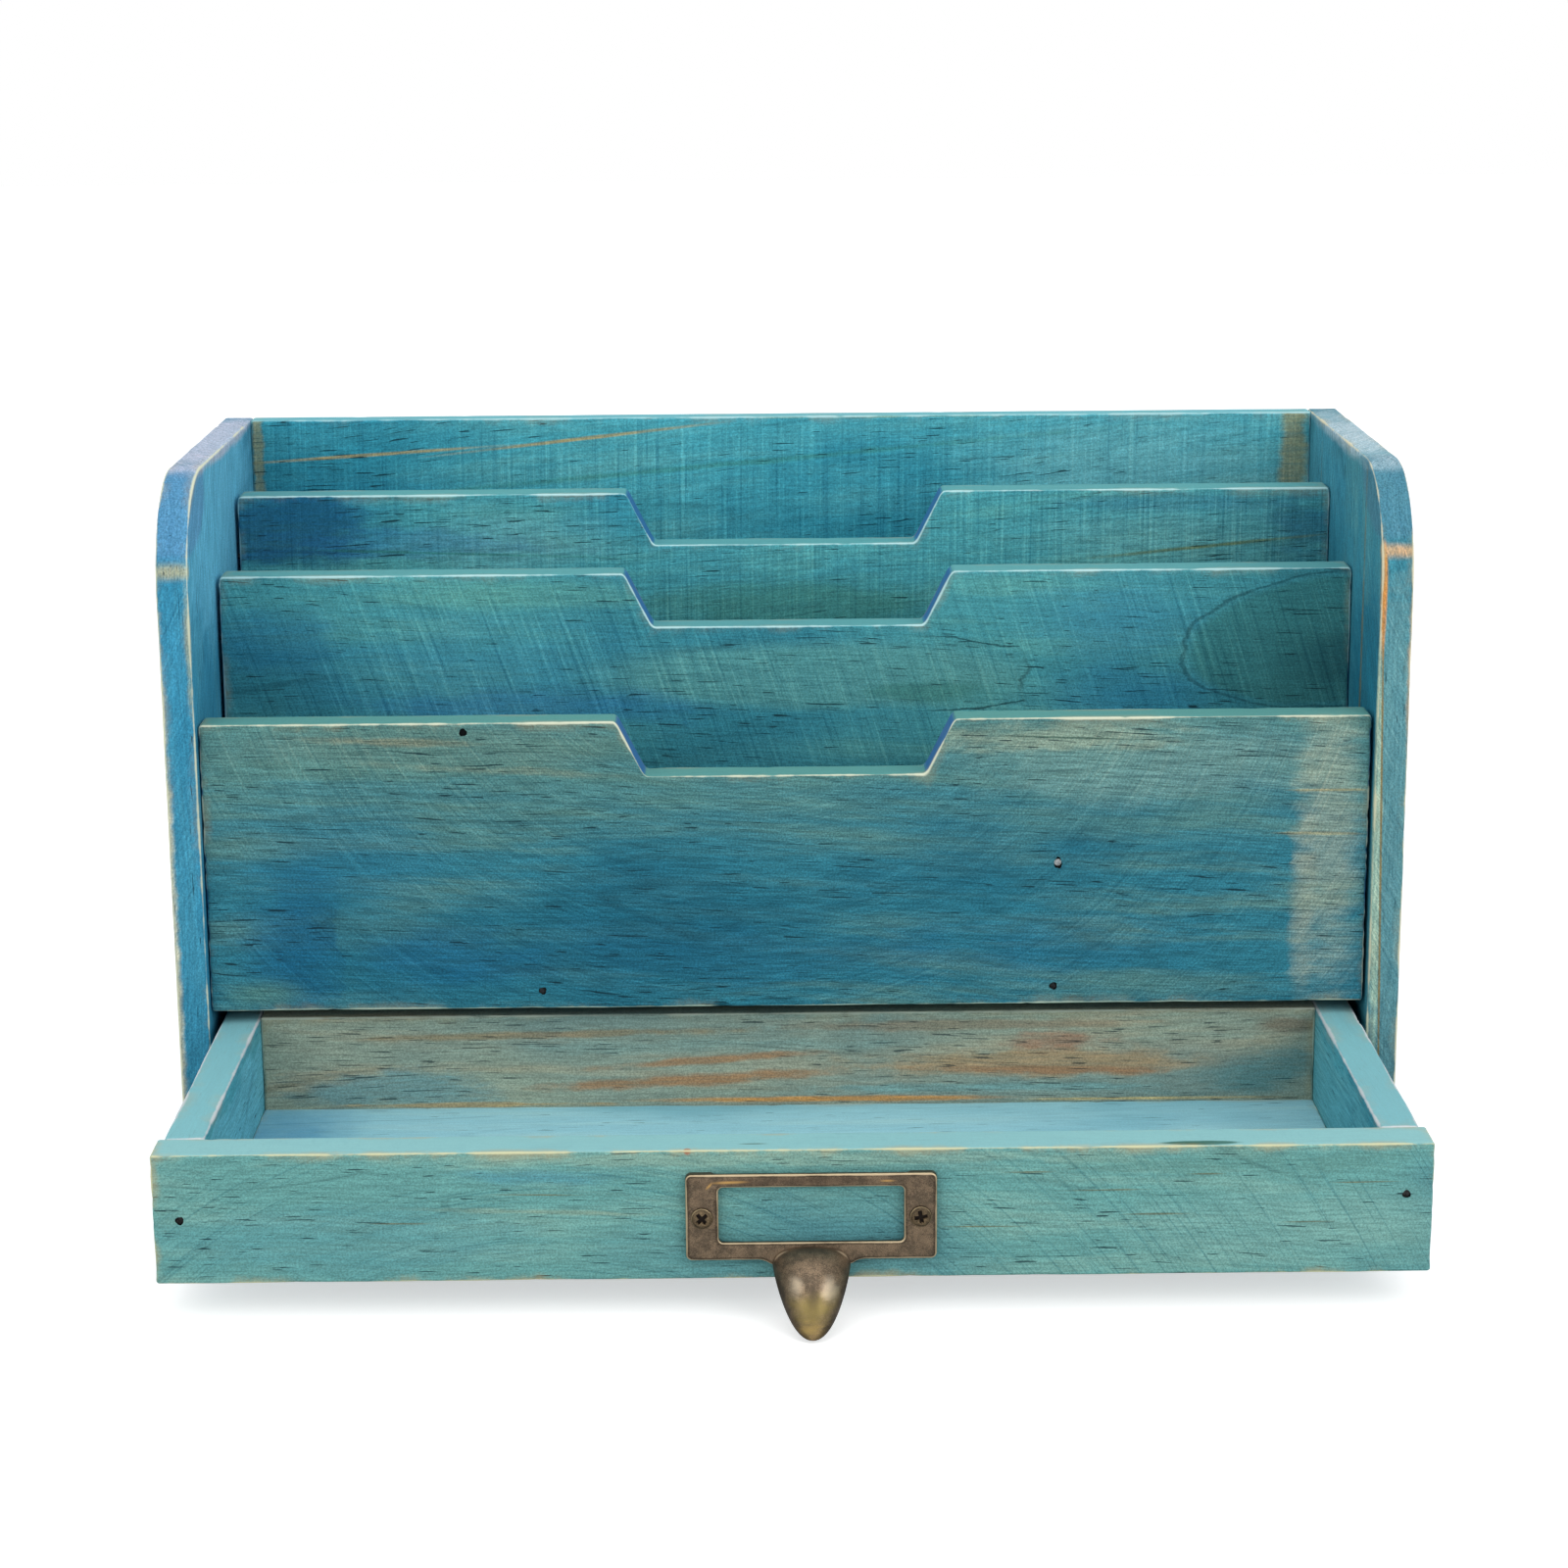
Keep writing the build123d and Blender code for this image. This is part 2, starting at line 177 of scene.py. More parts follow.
def wander(x, seed, longest, octaves=4):
    """Smooth noise about 0 and within 1: sine waves of falling length with seeded phases, added up."""
    rng = np.random.default_rng(seed)
    total = np.zeros_like(x, dtype=float)
    for octave in range(octaves):
        length = longest / 1.83 ** octave
        total += np.sin(x / length * math.tau + rng.uniform(0.0, math.tau)) * 0.62 ** octave
    return total / sum(0.62 ** octave for octave in range(octaves))


def nicks(x, seed, spacing, deepest, widest):
    """Small bumps of random place, depth and width along x: a sum of bell curves."""
    rng = np.random.default_rng(seed)
    count = max(1, int((x.max() - x.min()) / spacing))
    place = rng.uniform(x.min(), x.max(), count)
    depth = deepest * rng.uniform(0.15, 1.0, count) ** 2
    width = widest * rng.uniform(0.3, 1.0, count)
    bells = np.exp(-((x[..., None] - place) / width) ** 2) * depth
    return bells.sum(-1)


def keep_arris(mesh, values):
    """Keeps a value for each point of a mesh: its way from the nearest arris, in millimetres."""
    values = np.asarray(values, dtype=np.float32).reshape(-1)
    mesh.attributes.new("arris", "FLOAT", "POINT").data.foreach_set("value", values)


def smooth_all(mesh):
    """Shades every face of a mesh smooth."""
    mesh.polygons.foreach_set("use_smooth", np.ones(len(mesh.polygons), dtype=bool))


def rework(mesh, change):
    """Changes a mesh's points and faces in place."""
    work = bmesh.new()
    work.from_mesh(mesh)
    change(work)
    work.to_mesh(mesh)
    work.free()


def turn_outwards(mesh):
    """Recalculates a closed mesh's normals, so that its faces point outwards."""
    rework(mesh, lambda work: bmesh.ops.recalc_face_normals(work, faces=work.faces[:]))


def placed(name, data):
    """A new object in the scene."""
    made = bpy.data.objects.new(name, data)
    bpy.context.scene.collection.objects.link(made)
    return made


def applied(holder):
    """A new mesh from an object with its modifiers applied."""
    depsgraph = bpy.context.evaluated_depsgraph_get()
    return bpy.data.meshes.new_from_object(holder.evaluated_get(depsgraph))


def closed_tube(name, rings, arris, flat=None):
    """A mesh through a stack of closed rings (rings, points, 3), shut at both ends by a fan to the
    ring's middle. arris is a value for each point, and flat marks the strips (rings - 1, points) that
    are shaded flat."""
    count, around = rings.shape[:2]
    poles = np.stack([rings[0].mean(0), rings[-1].mean(0)])
    points = np.concatenate([rings.reshape(-1, 3), poles])
    index = np.arange(count * around).reshape(count, around)
    after = np.roll(index, -1, axis=1)
    quads = np.stack([index[:-1], after[:-1], after[1:], index[1:]], -1).reshape(-1, 4)
    pole = np.full(around, count * around)
    fan_low = np.stack([after[0], index[0], pole], -1)
    fan_high = np.stack([index[-1], after[-1], pole + 1], -1)
    fans = np.concatenate([fan_low, fan_high])
    corners = points[np.concatenate([quads[:, :3], quads[:, [0, 2, 3]], fans])]
    volume = np.einsum("ij,ij->i", corners[:, 0], np.cross(corners[:, 1], corners[:, 2])).sum()
    if volume < 0.0:
        quads = quads[:, ::-1]
        fans = fans[:, ::-1]
    mesh = bpy.data.meshes.new(name)
    mesh.from_pydata(points.tolist(), [], quads.tolist() + fans.tolist())
    smooth = np.ones(len(mesh.polygons), dtype=bool)
    smooth[len(quads):] = False
    if flat is not None:
        smooth[:len(quads)] = ~flat.reshape(-1)
    mesh.polygons.foreach_set("use_smooth", smooth)
    keep_arris(mesh, np.concatenate([arris.reshape(-1), [arris[0].max(), arris[-1].max()]]))
    mesh.attributes.new("pit", "FLOAT", "FACE")
    mesh.update()
    return mesh


def spread(room, step):
    """Where a side of a profile has points: the ways in from either end's arc, and the shares of the
    rest between the last of those ways."""
    ways = [way for way in NEAR_WAYS if way < room * 0.3]
    count = max(1, int((room - 2.0 * ways[-1]) / step))
    return ways, (np.arange(count) + 1.0) / (count + 1.0)


def loop_plan(half_b, half_c, radii, step):
    """The points around a rounded rectangle, counter-clockwise from corner 0 at (+b, -c), as a
    structured array. A point by a corner has the shares of the corner's radius that are taken off, and
    its ways in from the arc. A point further in has the axis that it runs along (1 for b, 2 for c), its
    share of the way to the corner after, and the last way in."""
    rows = []

    def point(corner, take=(0.0, 0.0), way=(0.0, 0.0), axis=0, share=0.0, after=0, last=0.0):
        rows.append((corner, *take, *way, axis, share, after, last))

    for corner, radius in enumerate(radii):
        along_c = corner % 2 == 0
        turn = np.linspace(0.0, math.pi / 2, (4 if radius < SAWN_ROUND else 22) + 1)
        for angle in turn[::-1] if along_c else turn:
            point(corner, take=(1 - math.cos(angle), 1 - math.sin(angle)))
        after = (corner + 1) % 4
        half = half_c if along_c else half_b
        ways, shares = spread(half * 2.0 - (radius + radii[after]), step)
        near = [{"take": (0, 1), "way": (0, way)} if along_c else {"take": (1, 0), "way": (way, 0)}
                for way in ways]
        for place in near:
            point(corner, **place)
        for share in shares:
            point(corner, axis=2 if along_c else 1, share=share, after=after, last=ways[-1])
        for place in reversed(near):
            point(after, **place)
    names = "corner take_b take_c way_b way_c axis share after last".split()
    kinds = [(name, int if name in ("corner", "axis", "after") else float) for name in names]
    return np.array(rows, dtype=kinds)


def arris_way(a, b, c, low, high, top, slope, biggest):
    """The way from the nearest arris, in millimetres: the second of a point's sorted ways from the ends,
    the edges and the crest. With a sawn round of the biggest radius it is instead the way from the
    profile's outline, arc included, or from the ends, whichever is longer."""
    from_a = np.minimum(a - low[0], high[0] - a)
    from_b = np.minimum(b - low[1], high[1] - b)
    from_c = np.minimum(c - low[2], (top - c) / slope)
    if biggest < SAWN_ROUND:
        return np.maximum(np.sort(np.stack([from_a, from_b, from_c]), axis=0)[1], 0.0) / MM
    beyond_b = np.maximum(low[1] + biggest - b, 0.0)
    beyond_c = np.maximum(c - (high[2] - biggest), 0.0)
    in_corner = (beyond_b > 0.0) & (beyond_c > 0.0)
    rounded = biggest - np.hypot(beyond_b, beyond_c)
    from_outline = np.where(in_corner, rounded, np.minimum(from_b, from_c))
    return np.maximum(np.maximum(from_outline, from_a), 0.0) / MM


def board_mesh(name, low, high, axes, seed, radii=None, crest=None, row=None, ragged=0.0, extra=()):
    """A sawn board: a rounded rectangle carried from one end of the board to the other.
    axes are the length, breadth and height axes in cyclic order. At each station the rectangle's half
    sides lose an inset that follows a quarter circle at the board's ends, so that all twelve arrises are
    round. The radius of each arris wanders and has nicks. crest(a) lowers the top edge along the board,
    where arris lengths are stretched by the slope so that they stay round across it. extra are further
    places along the board that get a station."""
    sizes = bpy.context.scene.sorter_boards
    row = row or sizes.row
    radii = np.array(radii or (sizes.arris,) * 4)
    low, high = ([corner[axis] for axis in axes] for corner in (low, high))
    length, breadth, height = (far - near for near, far in zip(low, high))
    half_b = breadth / 2
    half_c = height / 2
    plan = loop_plan(half_b, half_c, radii, row)

    around = np.arange(len(plan)) * row
    wear = sizes.arris * (0.95 + 0.3 * wander(around, seed + 1, 40 * MM))
    wear = wear + nicks(around, seed + 2, 30 * MM, 0.9 * MM, 2.5 * MM)
    wear = np.minimum(wear, min(1.9 * MM, length * 0.35))

    caps = [inset for inset in END_INSETS if inset < min(half_b, half_c) * 0.7]
    turn = np.append(np.full(len(caps), math.pi / 2), np.linspace(math.pi / 2, 0.0, END_RINGS))[:, None]
    end_way = wear * (1 - np.sin(turn))
    end_inset = wear * (1 - np.cos(turn)) + np.append(caps, np.zeros(END_RINGS))[:, None]
    reach = length / 2 - sizes.arris
    inner = np.arange(0.5 * MM, reach, sizes.station) / reach
    shares = np.concatenate([inner / 2, [0.5], 1.0 - inner[::-1] / 2, (np.array(extra) - low[0]) / length])
    between = low[0] + wear + (length - 2 * wear) * np.sort(shares)[:, None]
    a = np.concatenate([low[0] + end_way, between, high[0] - end_way[::-1]])
    inset = np.concatenate([end_inset, np.zeros_like(between), end_inset[::-1]])
    part = np.repeat([0, 1, 2, 1, 0], [len(caps), END_RINGS, len(shares), END_RINGS, len(caps)])

    along = a[:, 0]
    edge_wear = np.stack([0.9 + 0.35 * wander(along, seed + 10 + edge, 55 * MM)
                          + nicks(along, seed + 20 + edge, 26 * MM, 1.1, 2.2 * MM) for edge in range(4)], -1)
    top = np.full(a.shape, high[2])
    slope = np.ones(a.shape)
    if crest:
        top = crest(a)
        rise = (crest(a + 0.05 * MM) - crest(a - 0.05 * MM)) / (0.1 * MM)
        slope = np.sqrt(1.0 + rise ** 2)
    halves = (half_b, (top - low[2]) / 2)
    shrinks = ((half_b - inset) / half_b, (half_c - inset) / half_c)

    def offset(axis, corner, take, way):
        """Offset from the middle, along b (0) or c (1), of points that are tied to their corner."""
        base = radii[corner]
        keen = base < SAWN_ROUND
        worn = np.where(keen, base * edge_wear[:, corner], base)
        radius = np.maximum(worn - inset, np.where(keen, base * 0.15, 0.0))
        sign = np.array(CORNERS)[corner, axis]
        steep = np.where(sign > 0, slope, 1.0) if axis else 1.0
        eased = way * (1.0 + (steep - 1.0) * np.exp(-way / (2.5 * MM)))
        return sign * (halves[axis] - inset - take * radius * steep - eased * shrinks[axis])

    offsets = []
    for axis, letter in enumerate("bc"):
        tied = offset(axis, plan["corner"], plan["take_" + letter], plan["way_" + letter])
        first = offset(axis, plan["corner"], 1.0, plan["last"])
        second = offset(axis, plan["after"], 1.0, plan["last"])
        free = first + (second - first) * plan["share"]
        offsets.append(np.where(plan["axis"] == axis + 1, free, tied))
    b = offsets[0] + (low[1] + high[1]) / 2
    c = offsets[1] + (low[2] + top) / 2
    if ragged:
        end_near = np.minimum(a - low[0], high[0] - a)
        pull = np.exp(-(end_near / (1.4 * MM)) ** 2) * ragged
        torn = np.abs(wander(c, seed + 31, 9 * MM)) + nicks(c, seed + 32, 7 * MM, 1.2, 0.9 * MM)
        a = a - np.sign(a - (low[0] + high[0]) / 2) * pull * torn
    rings = np.empty(a.shape + (3,))
    rings[..., axes] = np.stack([a, b, c], -1)

    bent = (plan["take_b"] > 1e-6) & (plan["take_c"] > 1e-6)
    level = ~(bent | np.roll(bent, -1))
    same = part[:-1] == part[1:]
    flat = (same & (part[1:] == 2))[:, None] & level | (same & (part[1:] == 0))[:, None]
    return closed_tube(name, rings, arris_way(a, b, c, low, high, top, slope, max(radii)), flat)


def outline(width, height, radius, counts=(20, 60), turns=9):
    """Points and outward directions round a rounded rectangle, counter-clockwise from its lower right
    corner, with the same number of points whatever its size."""
    middles = np.array(CORNERS) * (np.array([width, height]) / 2 - radius)
    points = []
    outward = []
    for corner, middle in enumerate(middles):
        angle = (corner - 1) * math.pi / 2 + np.linspace(0.0, math.pi / 2, turns)
        way = np.stack([np.cos(angle), np.sin(angle)], -1)
        arc = middle + way * radius
        end = middles[(corner + 1) % 4] + way[-1] * radius
        count = counts[corner % 2]
        share = (np.arange(count) + 1.0)[:, None] / (count + 1.0)
        points += [arc, arc[-1] + (end - arc[-1]) * share]
        outward += [way, np.repeat(way[-1:], count, axis=0)]
    return np.concatenate(points), np.concatenate(outward)


def ring_mesh(name, rings, arris):
    """A mesh through a stack of closed rings whose last ring joins the first, so that it has a hole
    through it. arris is a value for each point."""
    count, around = rings.shape[:2]
    index = np.arange(count * around).reshape(count, around)
    after = np.roll(index, -1, axis=1)
    quads = np.stack([index, after, np.roll(after, -1, axis=0), np.roll(index, -1, axis=0)], -1)
    mesh = bpy.data.meshes.new(name)
    mesh.from_pydata(rings.reshape(-1, 3).tolist(), [], quads.reshape(-1, 4).tolist())
    keep_arris(mesh, arris)
    turn_outwards(mesh)
    smooth_all(mesh)
    return mesh


def frame_mesh(sizes, middle, wood):
    """The pull's label frame: one section carried round between the outer outline and the window's.
    The section goes up the outer wall, over a rounded edge, across a slightly crowned face, over the
    window's edge and back behind the face. The lower edge dips where it meets the tongue, and the outer
    wall starts above the wood along the card slot."""
    outer, outer_way = outline(sizes.width, sizes.height, sizes.corner)
    inner, inner_way = outline(sizes.window_width, sizes.window_height, sizes.window_corner)
    inner = inner + np.array([0.0, sizes.window_rise])
    from_middle = np.abs(outer[:, 0])
    near_web = np.clip((sizes.web_half + sizes.web_ease - from_middle) / sizes.web_ease, 0.0, 1.0)
    outer[:, 1] -= sizes.web * np.clip(-outer_way[:, 1], 0.0, 1.0) * near_web ** 2
    in_slot = np.clip((sizes.card_width / 2 - from_middle) / (0.6 * MM), 0.0, 1.0)
    back = sizes.depth - sizes.sheet
    foot = in_slot * np.clip(outer_way[:, 1], 0.0, 1.0) * back
    shoulder = sizes.depth - sizes.edge
    window_edge = sizes.edge * 0.8
    turn = np.linspace(0.0, math.pi / 2, 6)
    wall_arris = 1.5
    hidden_arris = 3.0
    rows = []

    def row(points, depth, arris):
        full = np.empty((len(points), 4))
        full[:, 0] = middle[0] + points[:, 0]
        full[:, 1] = wood - depth
        full[:, 2] = middle[1] + points[:, 1]
        full[:, 3] = arris
        rows.append(full)

    def over_edge(points, way, radius, angles):
        """Rows over a rounded edge: in along way, and up to the face, on a quarter circle."""
        for angle in angles:
            row(points + way * radius * (1 - math.cos(angle)), sizes.depth - radius * (1 - math.sin(angle)),
                0.35 * abs(angle - math.pi / 4) * sizes.edge / MM)

    row(outer, foot, wall_arris)
    row(outer, (foot + shoulder) / 2, wall_arris)
    over_edge(outer, -outer_way, sizes.edge, turn)
    start = outer - outer_way * sizes.edge
    end = inner + inner_way * window_edge
    for share in (0.08, 0.2, 0.4, 0.6, 0.8, 0.92):
        crown = math.sin(share * math.pi)
        row(start + (end - start) * share, sizes.depth + 0.10 * MM * crown, 1.2 + 3.0 * crown)
    over_edge(inner, inner_way, window_edge, turn[::-1])
    row(inner, back, wall_arris)
    row(inner + inner_way * 0.8 * MM, back, hidden_arris)
    row(outer - outer_way * (sizes.sheet + 0.3 * MM), back, hidden_arris)
    row(outer - outer_way * (sizes.sheet + 0.1 * MM), foot * 0.98, hidden_arris)
    rings = np.stack(rows)
    return ring_mesh("label_frame", rings[..., :3], rings[..., 3])


def tongue_mesh(sizes, middle, wood):
    """The pull's finger tongue: arches carried from its root on the frame to its tip. The crown follows
    a quarter of an ellipse out and down, the two rims close in almost straight to a round tip, and each
    arch is a flattened half ellipse between them. The sheet then gets its thickness inwards."""
    turn = np.linspace(0.0, math.pi / 2, 34)[:, None]
    v = np.linspace(-math.pi / 2, math.pi / 2, 41)[None, :]
    u = np.sin(turn)
    half = sizes.tongue_half * np.maximum(1 - u ** 1.3, 0.0) ** 0.48
    root = sizes.depth * 0.5
    rim_out = root + (sizes.tongue_reach - root) * u
    rim_z = -sizes.tongue_rim - (sizes.tongue_tip - sizes.tongue_rim) * u ** 1.1
    crown_out = sizes.depth + (sizes.tongue_reach - sizes.depth) * u
    crown_z = -sizes.tongue_crown - (sizes.tongue_tip - sizes.tongue_crown) * (1 - np.cos(turn))
    across = np.sign(v) * np.abs(np.sin(v)) ** 0.85
    arch = np.cos(v).clip(0.0, 1.0) ** 0.8
    points = np.stack([middle[0] + half * across, wood - (rim_out + (crown_out - rim_out) * arch),
                       middle[1] + rim_z + (crown_z - rim_z) * arch], -1)
    index = np.arange(points[..., 0].size).reshape(points.shape[:2])
    quads = np.stack([index[:-1, :-1], index[1:, :-1], index[1:, 1:], index[:-1, 1:]], -1)
    mesh = bpy.data.meshes.new("tongue")
    mesh.from_pydata(points.reshape(-1, 3).tolist(), [], quads.reshape(-1, 4).tolist())
    # The arris value grows from the rims to the crown; from it the bronze darkens the tongue towards its rims
    # as a painted dark reflection.
    from_rim = np.degrees(math.pi / 2 - np.abs(v)) / 12.0
    keep_arris(mesh, np.broadcast_to(from_rim + 0.2, index.shape))
    rework(mesh, lambda work: bmesh.ops.remove_doubles(work, verts=work.verts[:], dist=0.002 * MM))
    smooth_all(mesh)
    return thickened(mesh, sizes.sheet)


def thickened(mesh, sheet):
    """The mesh with a thickness away from its face side, as a new mesh."""
    holder = placed(mesh.name, mesh)
    wall = holder.modifiers.new("wall", "SOLIDIFY")
    wall.thickness = sheet
    wall.offset = -1.0
    solid = applied(holder)
    bpy.data.objects.remove(holder)
    return solid


def screw_head_mesh(sizes, middle, seat, turn):
    """A screw head as rings about its axis: up its side, over a soft edge and in over a low dome, with a
    cross recess pressed into it. The recess is a smooth step of the way from the cross's two bars."""
    dome = np.maximum(np.cos(np.linspace(0.0, math.pi / 2, 40)) * 0.999, 0.004)
    share = np.concatenate([[0.96, 1.0, 1.0], dome])[:, None]
    rise = np.concatenate([[-0.3, -0.3, 0.1], 0.28 + 0.72 * np.sqrt(1 - dome ** 2)])[:, None]
    angle = np.linspace(0.0, math.tau, 120, endpoint=False)
    x = share * sizes.screw_radius * np.cos(angle)
    z = share * sizes.screw_radius * np.sin(angle)
    recess = np.zeros(x.shape)
    for bar in (turn, turn + math.pi / 2):
        along = x * math.cos(bar) + z * math.sin(bar)
        across = z * math.cos(bar) - x * math.sin(bar)
        inside = np.minimum(sizes.cross_half - np.abs(along), sizes.cross_wide - np.abs(across))
        recess = np.maximum(recess, np.clip(inside / (0.12 * MM) + 0.5, 0.0, 1.0))
    depth = rise * sizes.screw_height - recess * 0.75 * MM
    rings = np.stack([middle[0] + x, seat - depth, middle[1] + z], -1)
    deep = recess > 0.5
    # Near the rim the arris value is small, so that the bronze paints a bright ring there as a painted
    # highlight. The recess faces are kept as pit, which the bronze paints near black as shade.
    mesh = closed_tube("screw_head", rings, np.where(deep, 9.0, 0.03 + np.abs(share - 0.93) * 6.0))
    values = np.zeros(len(mesh.polygons), np.float32)
    values[:deep[:-1].size] = deep[:-1].reshape(-1)
    mesh.attributes["pit"].data.foreach_set("value", values)
    smooth_all(mesh)
    return mesh


def joined(name, meshes):
    """Several meshes as one."""
    work = bmesh.new()
    for mesh in meshes:
        work.from_mesh(mesh)
    result = bpy.data.meshes.new(name)
    work.to_mesh(result)
    work.free()
    for mesh in meshes:
        bpy.data.meshes.remove(mesh)
    return result


def piece(name, mesh, body, node, material):
    """A new object that stands for a node of the frame, moves with its body and has one finish."""
    made = placed(name, mesh)
    made.data.materials.append(material)
    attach(made, body)
    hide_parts(node)
    return made


def make_board(node, body, slot, finish, seed, name=None, axes=(0, 1, 2), pits=None, **shape):
    """A board in a node's box and in its place. pits is what sink_pits takes besides the surface, and
    shape what board_mesh takes by name."""
    low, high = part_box(node)
    name = name or node + "_board"
    board = piece(name, board_mesh(name, low, high, axes, seed, **shape), body, node, finish)
    if pits:
        surface = high if pits["outward"] > 0 else low
        sink_pits(board, surface[pits["axis"]], **pits)


def brad_places(node, axis):
    """Middles of a node's brads in the plane across axis: the first loose corner takes all within 3 mm."""
    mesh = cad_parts[node].data
    points = np.empty(len(mesh.vertices) * 3)
    mesh.vertices.foreach_get("co", points)
    flat = np.delete(points.reshape(-1, 3), axis, axis=1)
    places = []
    while len(flat):
        close = np.linalg.norm(flat - flat[0], axis=1) < 3 * MM
        places.append((flat[close].min(0) + flat[close].max(0)) / 2)
        flat = flat[~close]
    return places


def brad_pits(node, axis, outward, seed):
    """The pits over a node's brads, which run along axis and are driven in from the outward side."""
    return {"places": brad_places(node + "_brads", axis), "axis": axis, "outward": outward, "seed": seed}


def pit_cutter(surface, places, axis, outward, seed, stretch, around=18):
    """One mesh of short ragged rods, each from above the surface down to the pit's floor. stretch gives
    the height of those that aren't round."""
    sizes = bpy.context.scene.sorter_boards
    rng = np.random.default_rng(seed)
    turn = np.arange(around) / around * math.tau
    plane = [other for other in range(3) if other != axis]
    points = []
    faces = []
    for number, place in enumerate(places):
        waves = 0.1 * np.sin(turn * 3 + rng.uniform(0, 6)) + rng.uniform(-0.06, 0.06, around)
        rim = sizes.pit_radius * (1.0 + waves)
        ring = np.zeros((2, around, 3))
        ring[..., plane[0]] = place[0] + rim * np.cos(turn)
        ring[..., plane[1]] = place[1] + rim * np.sin(turn) * stretch.get(number, 1.0)
        ring[0, :, axis] = surface + outward * 0.6 * MM
        ring[1, :, axis] = surface - outward * sizes.pit_depth
        points.append(ring.reshape(-1, 3))
        index = np.arange(around) + number * 2 * around
        after = np.roll(index, -1)
        faces += np.stack([index, after, after + around, index + around], -1).tolist()
        faces += [index.tolist(), (index[::-1] + around).tolist()]
    mesh = bpy.data.meshes.new("pit_cutter")
    mesh.from_pydata(np.concatenate(points).tolist(), [], faces)
    mesh.attributes.new("pit", "FLOAT", "FACE").data.foreach_set("value", np.ones(len(faces), np.float32))
    keep_arris(mesh, np.full(len(mesh.vertices), UNRUBBED))
    turn_outwards(mesh)
    return mesh


def sink_pits(board, surface, places, axis, outward, seed, stretch=None):
    """Cuts pits into a board and applies the cut, so that the mesh holds them."""
    mesh = pit_cutter(surface, places, axis, outward, seed, stretch or {})
    cutter = placed("pit_cutter", mesh)
    cut = board.modifiers.new("pits", "BOOLEAN")
    cut.operation = "DIFFERENCE"
    cut.solver = "EXACT"
    cut.object = cutter
    done = applied(board)
    board.modifiers.clear()
    holes = np.zeros(len(done.polygons), np.float32)
    done.attributes["pit"].data.foreach_get("value", holes)
    arris = done.attributes["arris"].data
    for index in np.flatnonzero(holes > 0.5):
        for point in done.polygons[index].vertices:
            arris[point].value = UNRUBBED
    old = board.data
    done.name = old.name
    board.data = done
    bpy.data.meshes.remove(old)
    bpy.data.objects.remove(cutter)
    bpy.data.meshes.remove(mesh)


# ------------------------------------------------------------------------------------ node helpers


def connect(tree, node, inputs):
    """Links the inputs of a node that are given as sockets, and sets the others."""
    for key, value in inputs.items():
        if isinstance(value, bpy.types.NodeSocket):
            tree.links.new(value, node.inputs[key])
        else:
            node.inputs[key].default_value = value


def add(tree, kind, inputs=None, **settings):
    """A node with its settings and inputs."""
    node = tree.nodes.new(kind)
    for key, value in settings.items():
        setattr(node, key, value)
    connect(tree, node, inputs or {})
    return node


def calc(tree, operation, a, b=0.0, c=0.0):
    """The result of one Math node."""
    return add(tree, "ShaderNodeMath", {0: a, 1: b, 2: c}, operation=operation).outputs[0]


def times(tree, a, b):
    """The product of two values."""
    return calc(tree, "MULTIPLY", a, b)


def vector_calc(tree, operation, a, b):
    """The vector that one Vector Math node gives."""
    return add(tree, "ShaderNodeVectorMath", {0: a, 1: b}, operation=operation).outputs[0]


def separated(tree, vector):
    """The three parts of a vector."""
    return add(tree, "ShaderNodeSeparateXYZ", {0: vector}).outputs


def combined(tree, x, y, z):
    """A vector from its three parts."""
    return add(tree, "ShaderNodeCombineXYZ", {0: x, 1: y, 2: z}).outputs[0]


def grey(tree, value):
    """A value as a grey colour, for a multiplying Mix."""
    return combined(tree, value, value, value)


def turned(tree, vector, angle):
    """A vector turned about Y."""
    inputs = {"Vector": vector, "Axis": (0, 1, 0), "Angle": angle}
    return add(tree, "ShaderNodeVectorRotate", inputs, rotation_type="AXIS_ANGLE").outputs[0]


def attribute(tree, name):
    """The value of a mesh's attribute."""
    return add(tree, "ShaderNodeAttribute", attribute_name=name).outputs["Fac"]


def step_up(tree, value, low, high, to_low=0.0, to_high=1.0):
    """A smooth step of value from to_low at low to to_high at high."""
    inputs = {0: value, 1: low, 2: high, 3: to_low, 4: to_high}
    return add(tree, "ShaderNodeMapRange", inputs, interpolation_type="SMOOTHSTEP").outputs[0]


def blend(tree, factor, a, b, mode="MIX"):
    """The colour that one Mix node gives."""
    node = add(tree, "ShaderNodeMix", {0: factor}, data_type="RGBA", blend_type=mode)
    for index, value in ((6, a), (7, b)):
        if not isinstance(value, bpy.types.NodeSocket):
            value = tuple(value)[:3] + (1.0,)
        connect(tree, node, {index: value})
    return node.outputs[2]


def noise(tree, vector, stretch=None, scale=1.0, detail=2.0, rough=0.5, output=0):
    """The value (output 0) or colour (output 1) of a Noise Texture at a vector that is stretched first."""
    if stretch:
        vector = vector_calc(tree, "MULTIPLY", vector, stretch)
    inputs = {"Vector": vector, "Scale": scale, "Detail": detail, "Roughness": rough}
    return add(tree, "ShaderNodeTexNoise", inputs).outputs[output]


def shader_group(name, inputs, outputs):
    """A shader node group with named sockets: its tree, what it is given, and a function that links its
    results by name and returns the tree."""
    tree = bpy.data.node_groups.new(name, "ShaderNodeTree")
    kinds = {"f": "NodeSocketFloat", "v": "NodeSocketVector", "c": "NodeSocketColor"}
    for label, kind, default in inputs:
        socket = tree.interface.new_socket(name=label, in_out="INPUT", socket_type=kinds[kind])
        if default is not None:
            socket.default_value = default
    for label, kind in outputs:
        tree.interface.new_socket(name=label, in_out="OUTPUT", socket_type=kinds[kind])
    given = tree.nodes.new("NodeGroupInput").outputs
    out = tree.nodes.new("NodeGroupOutput")

    def close(**results):
        connect(tree, out, results)
        return tree

    return tree, given, close


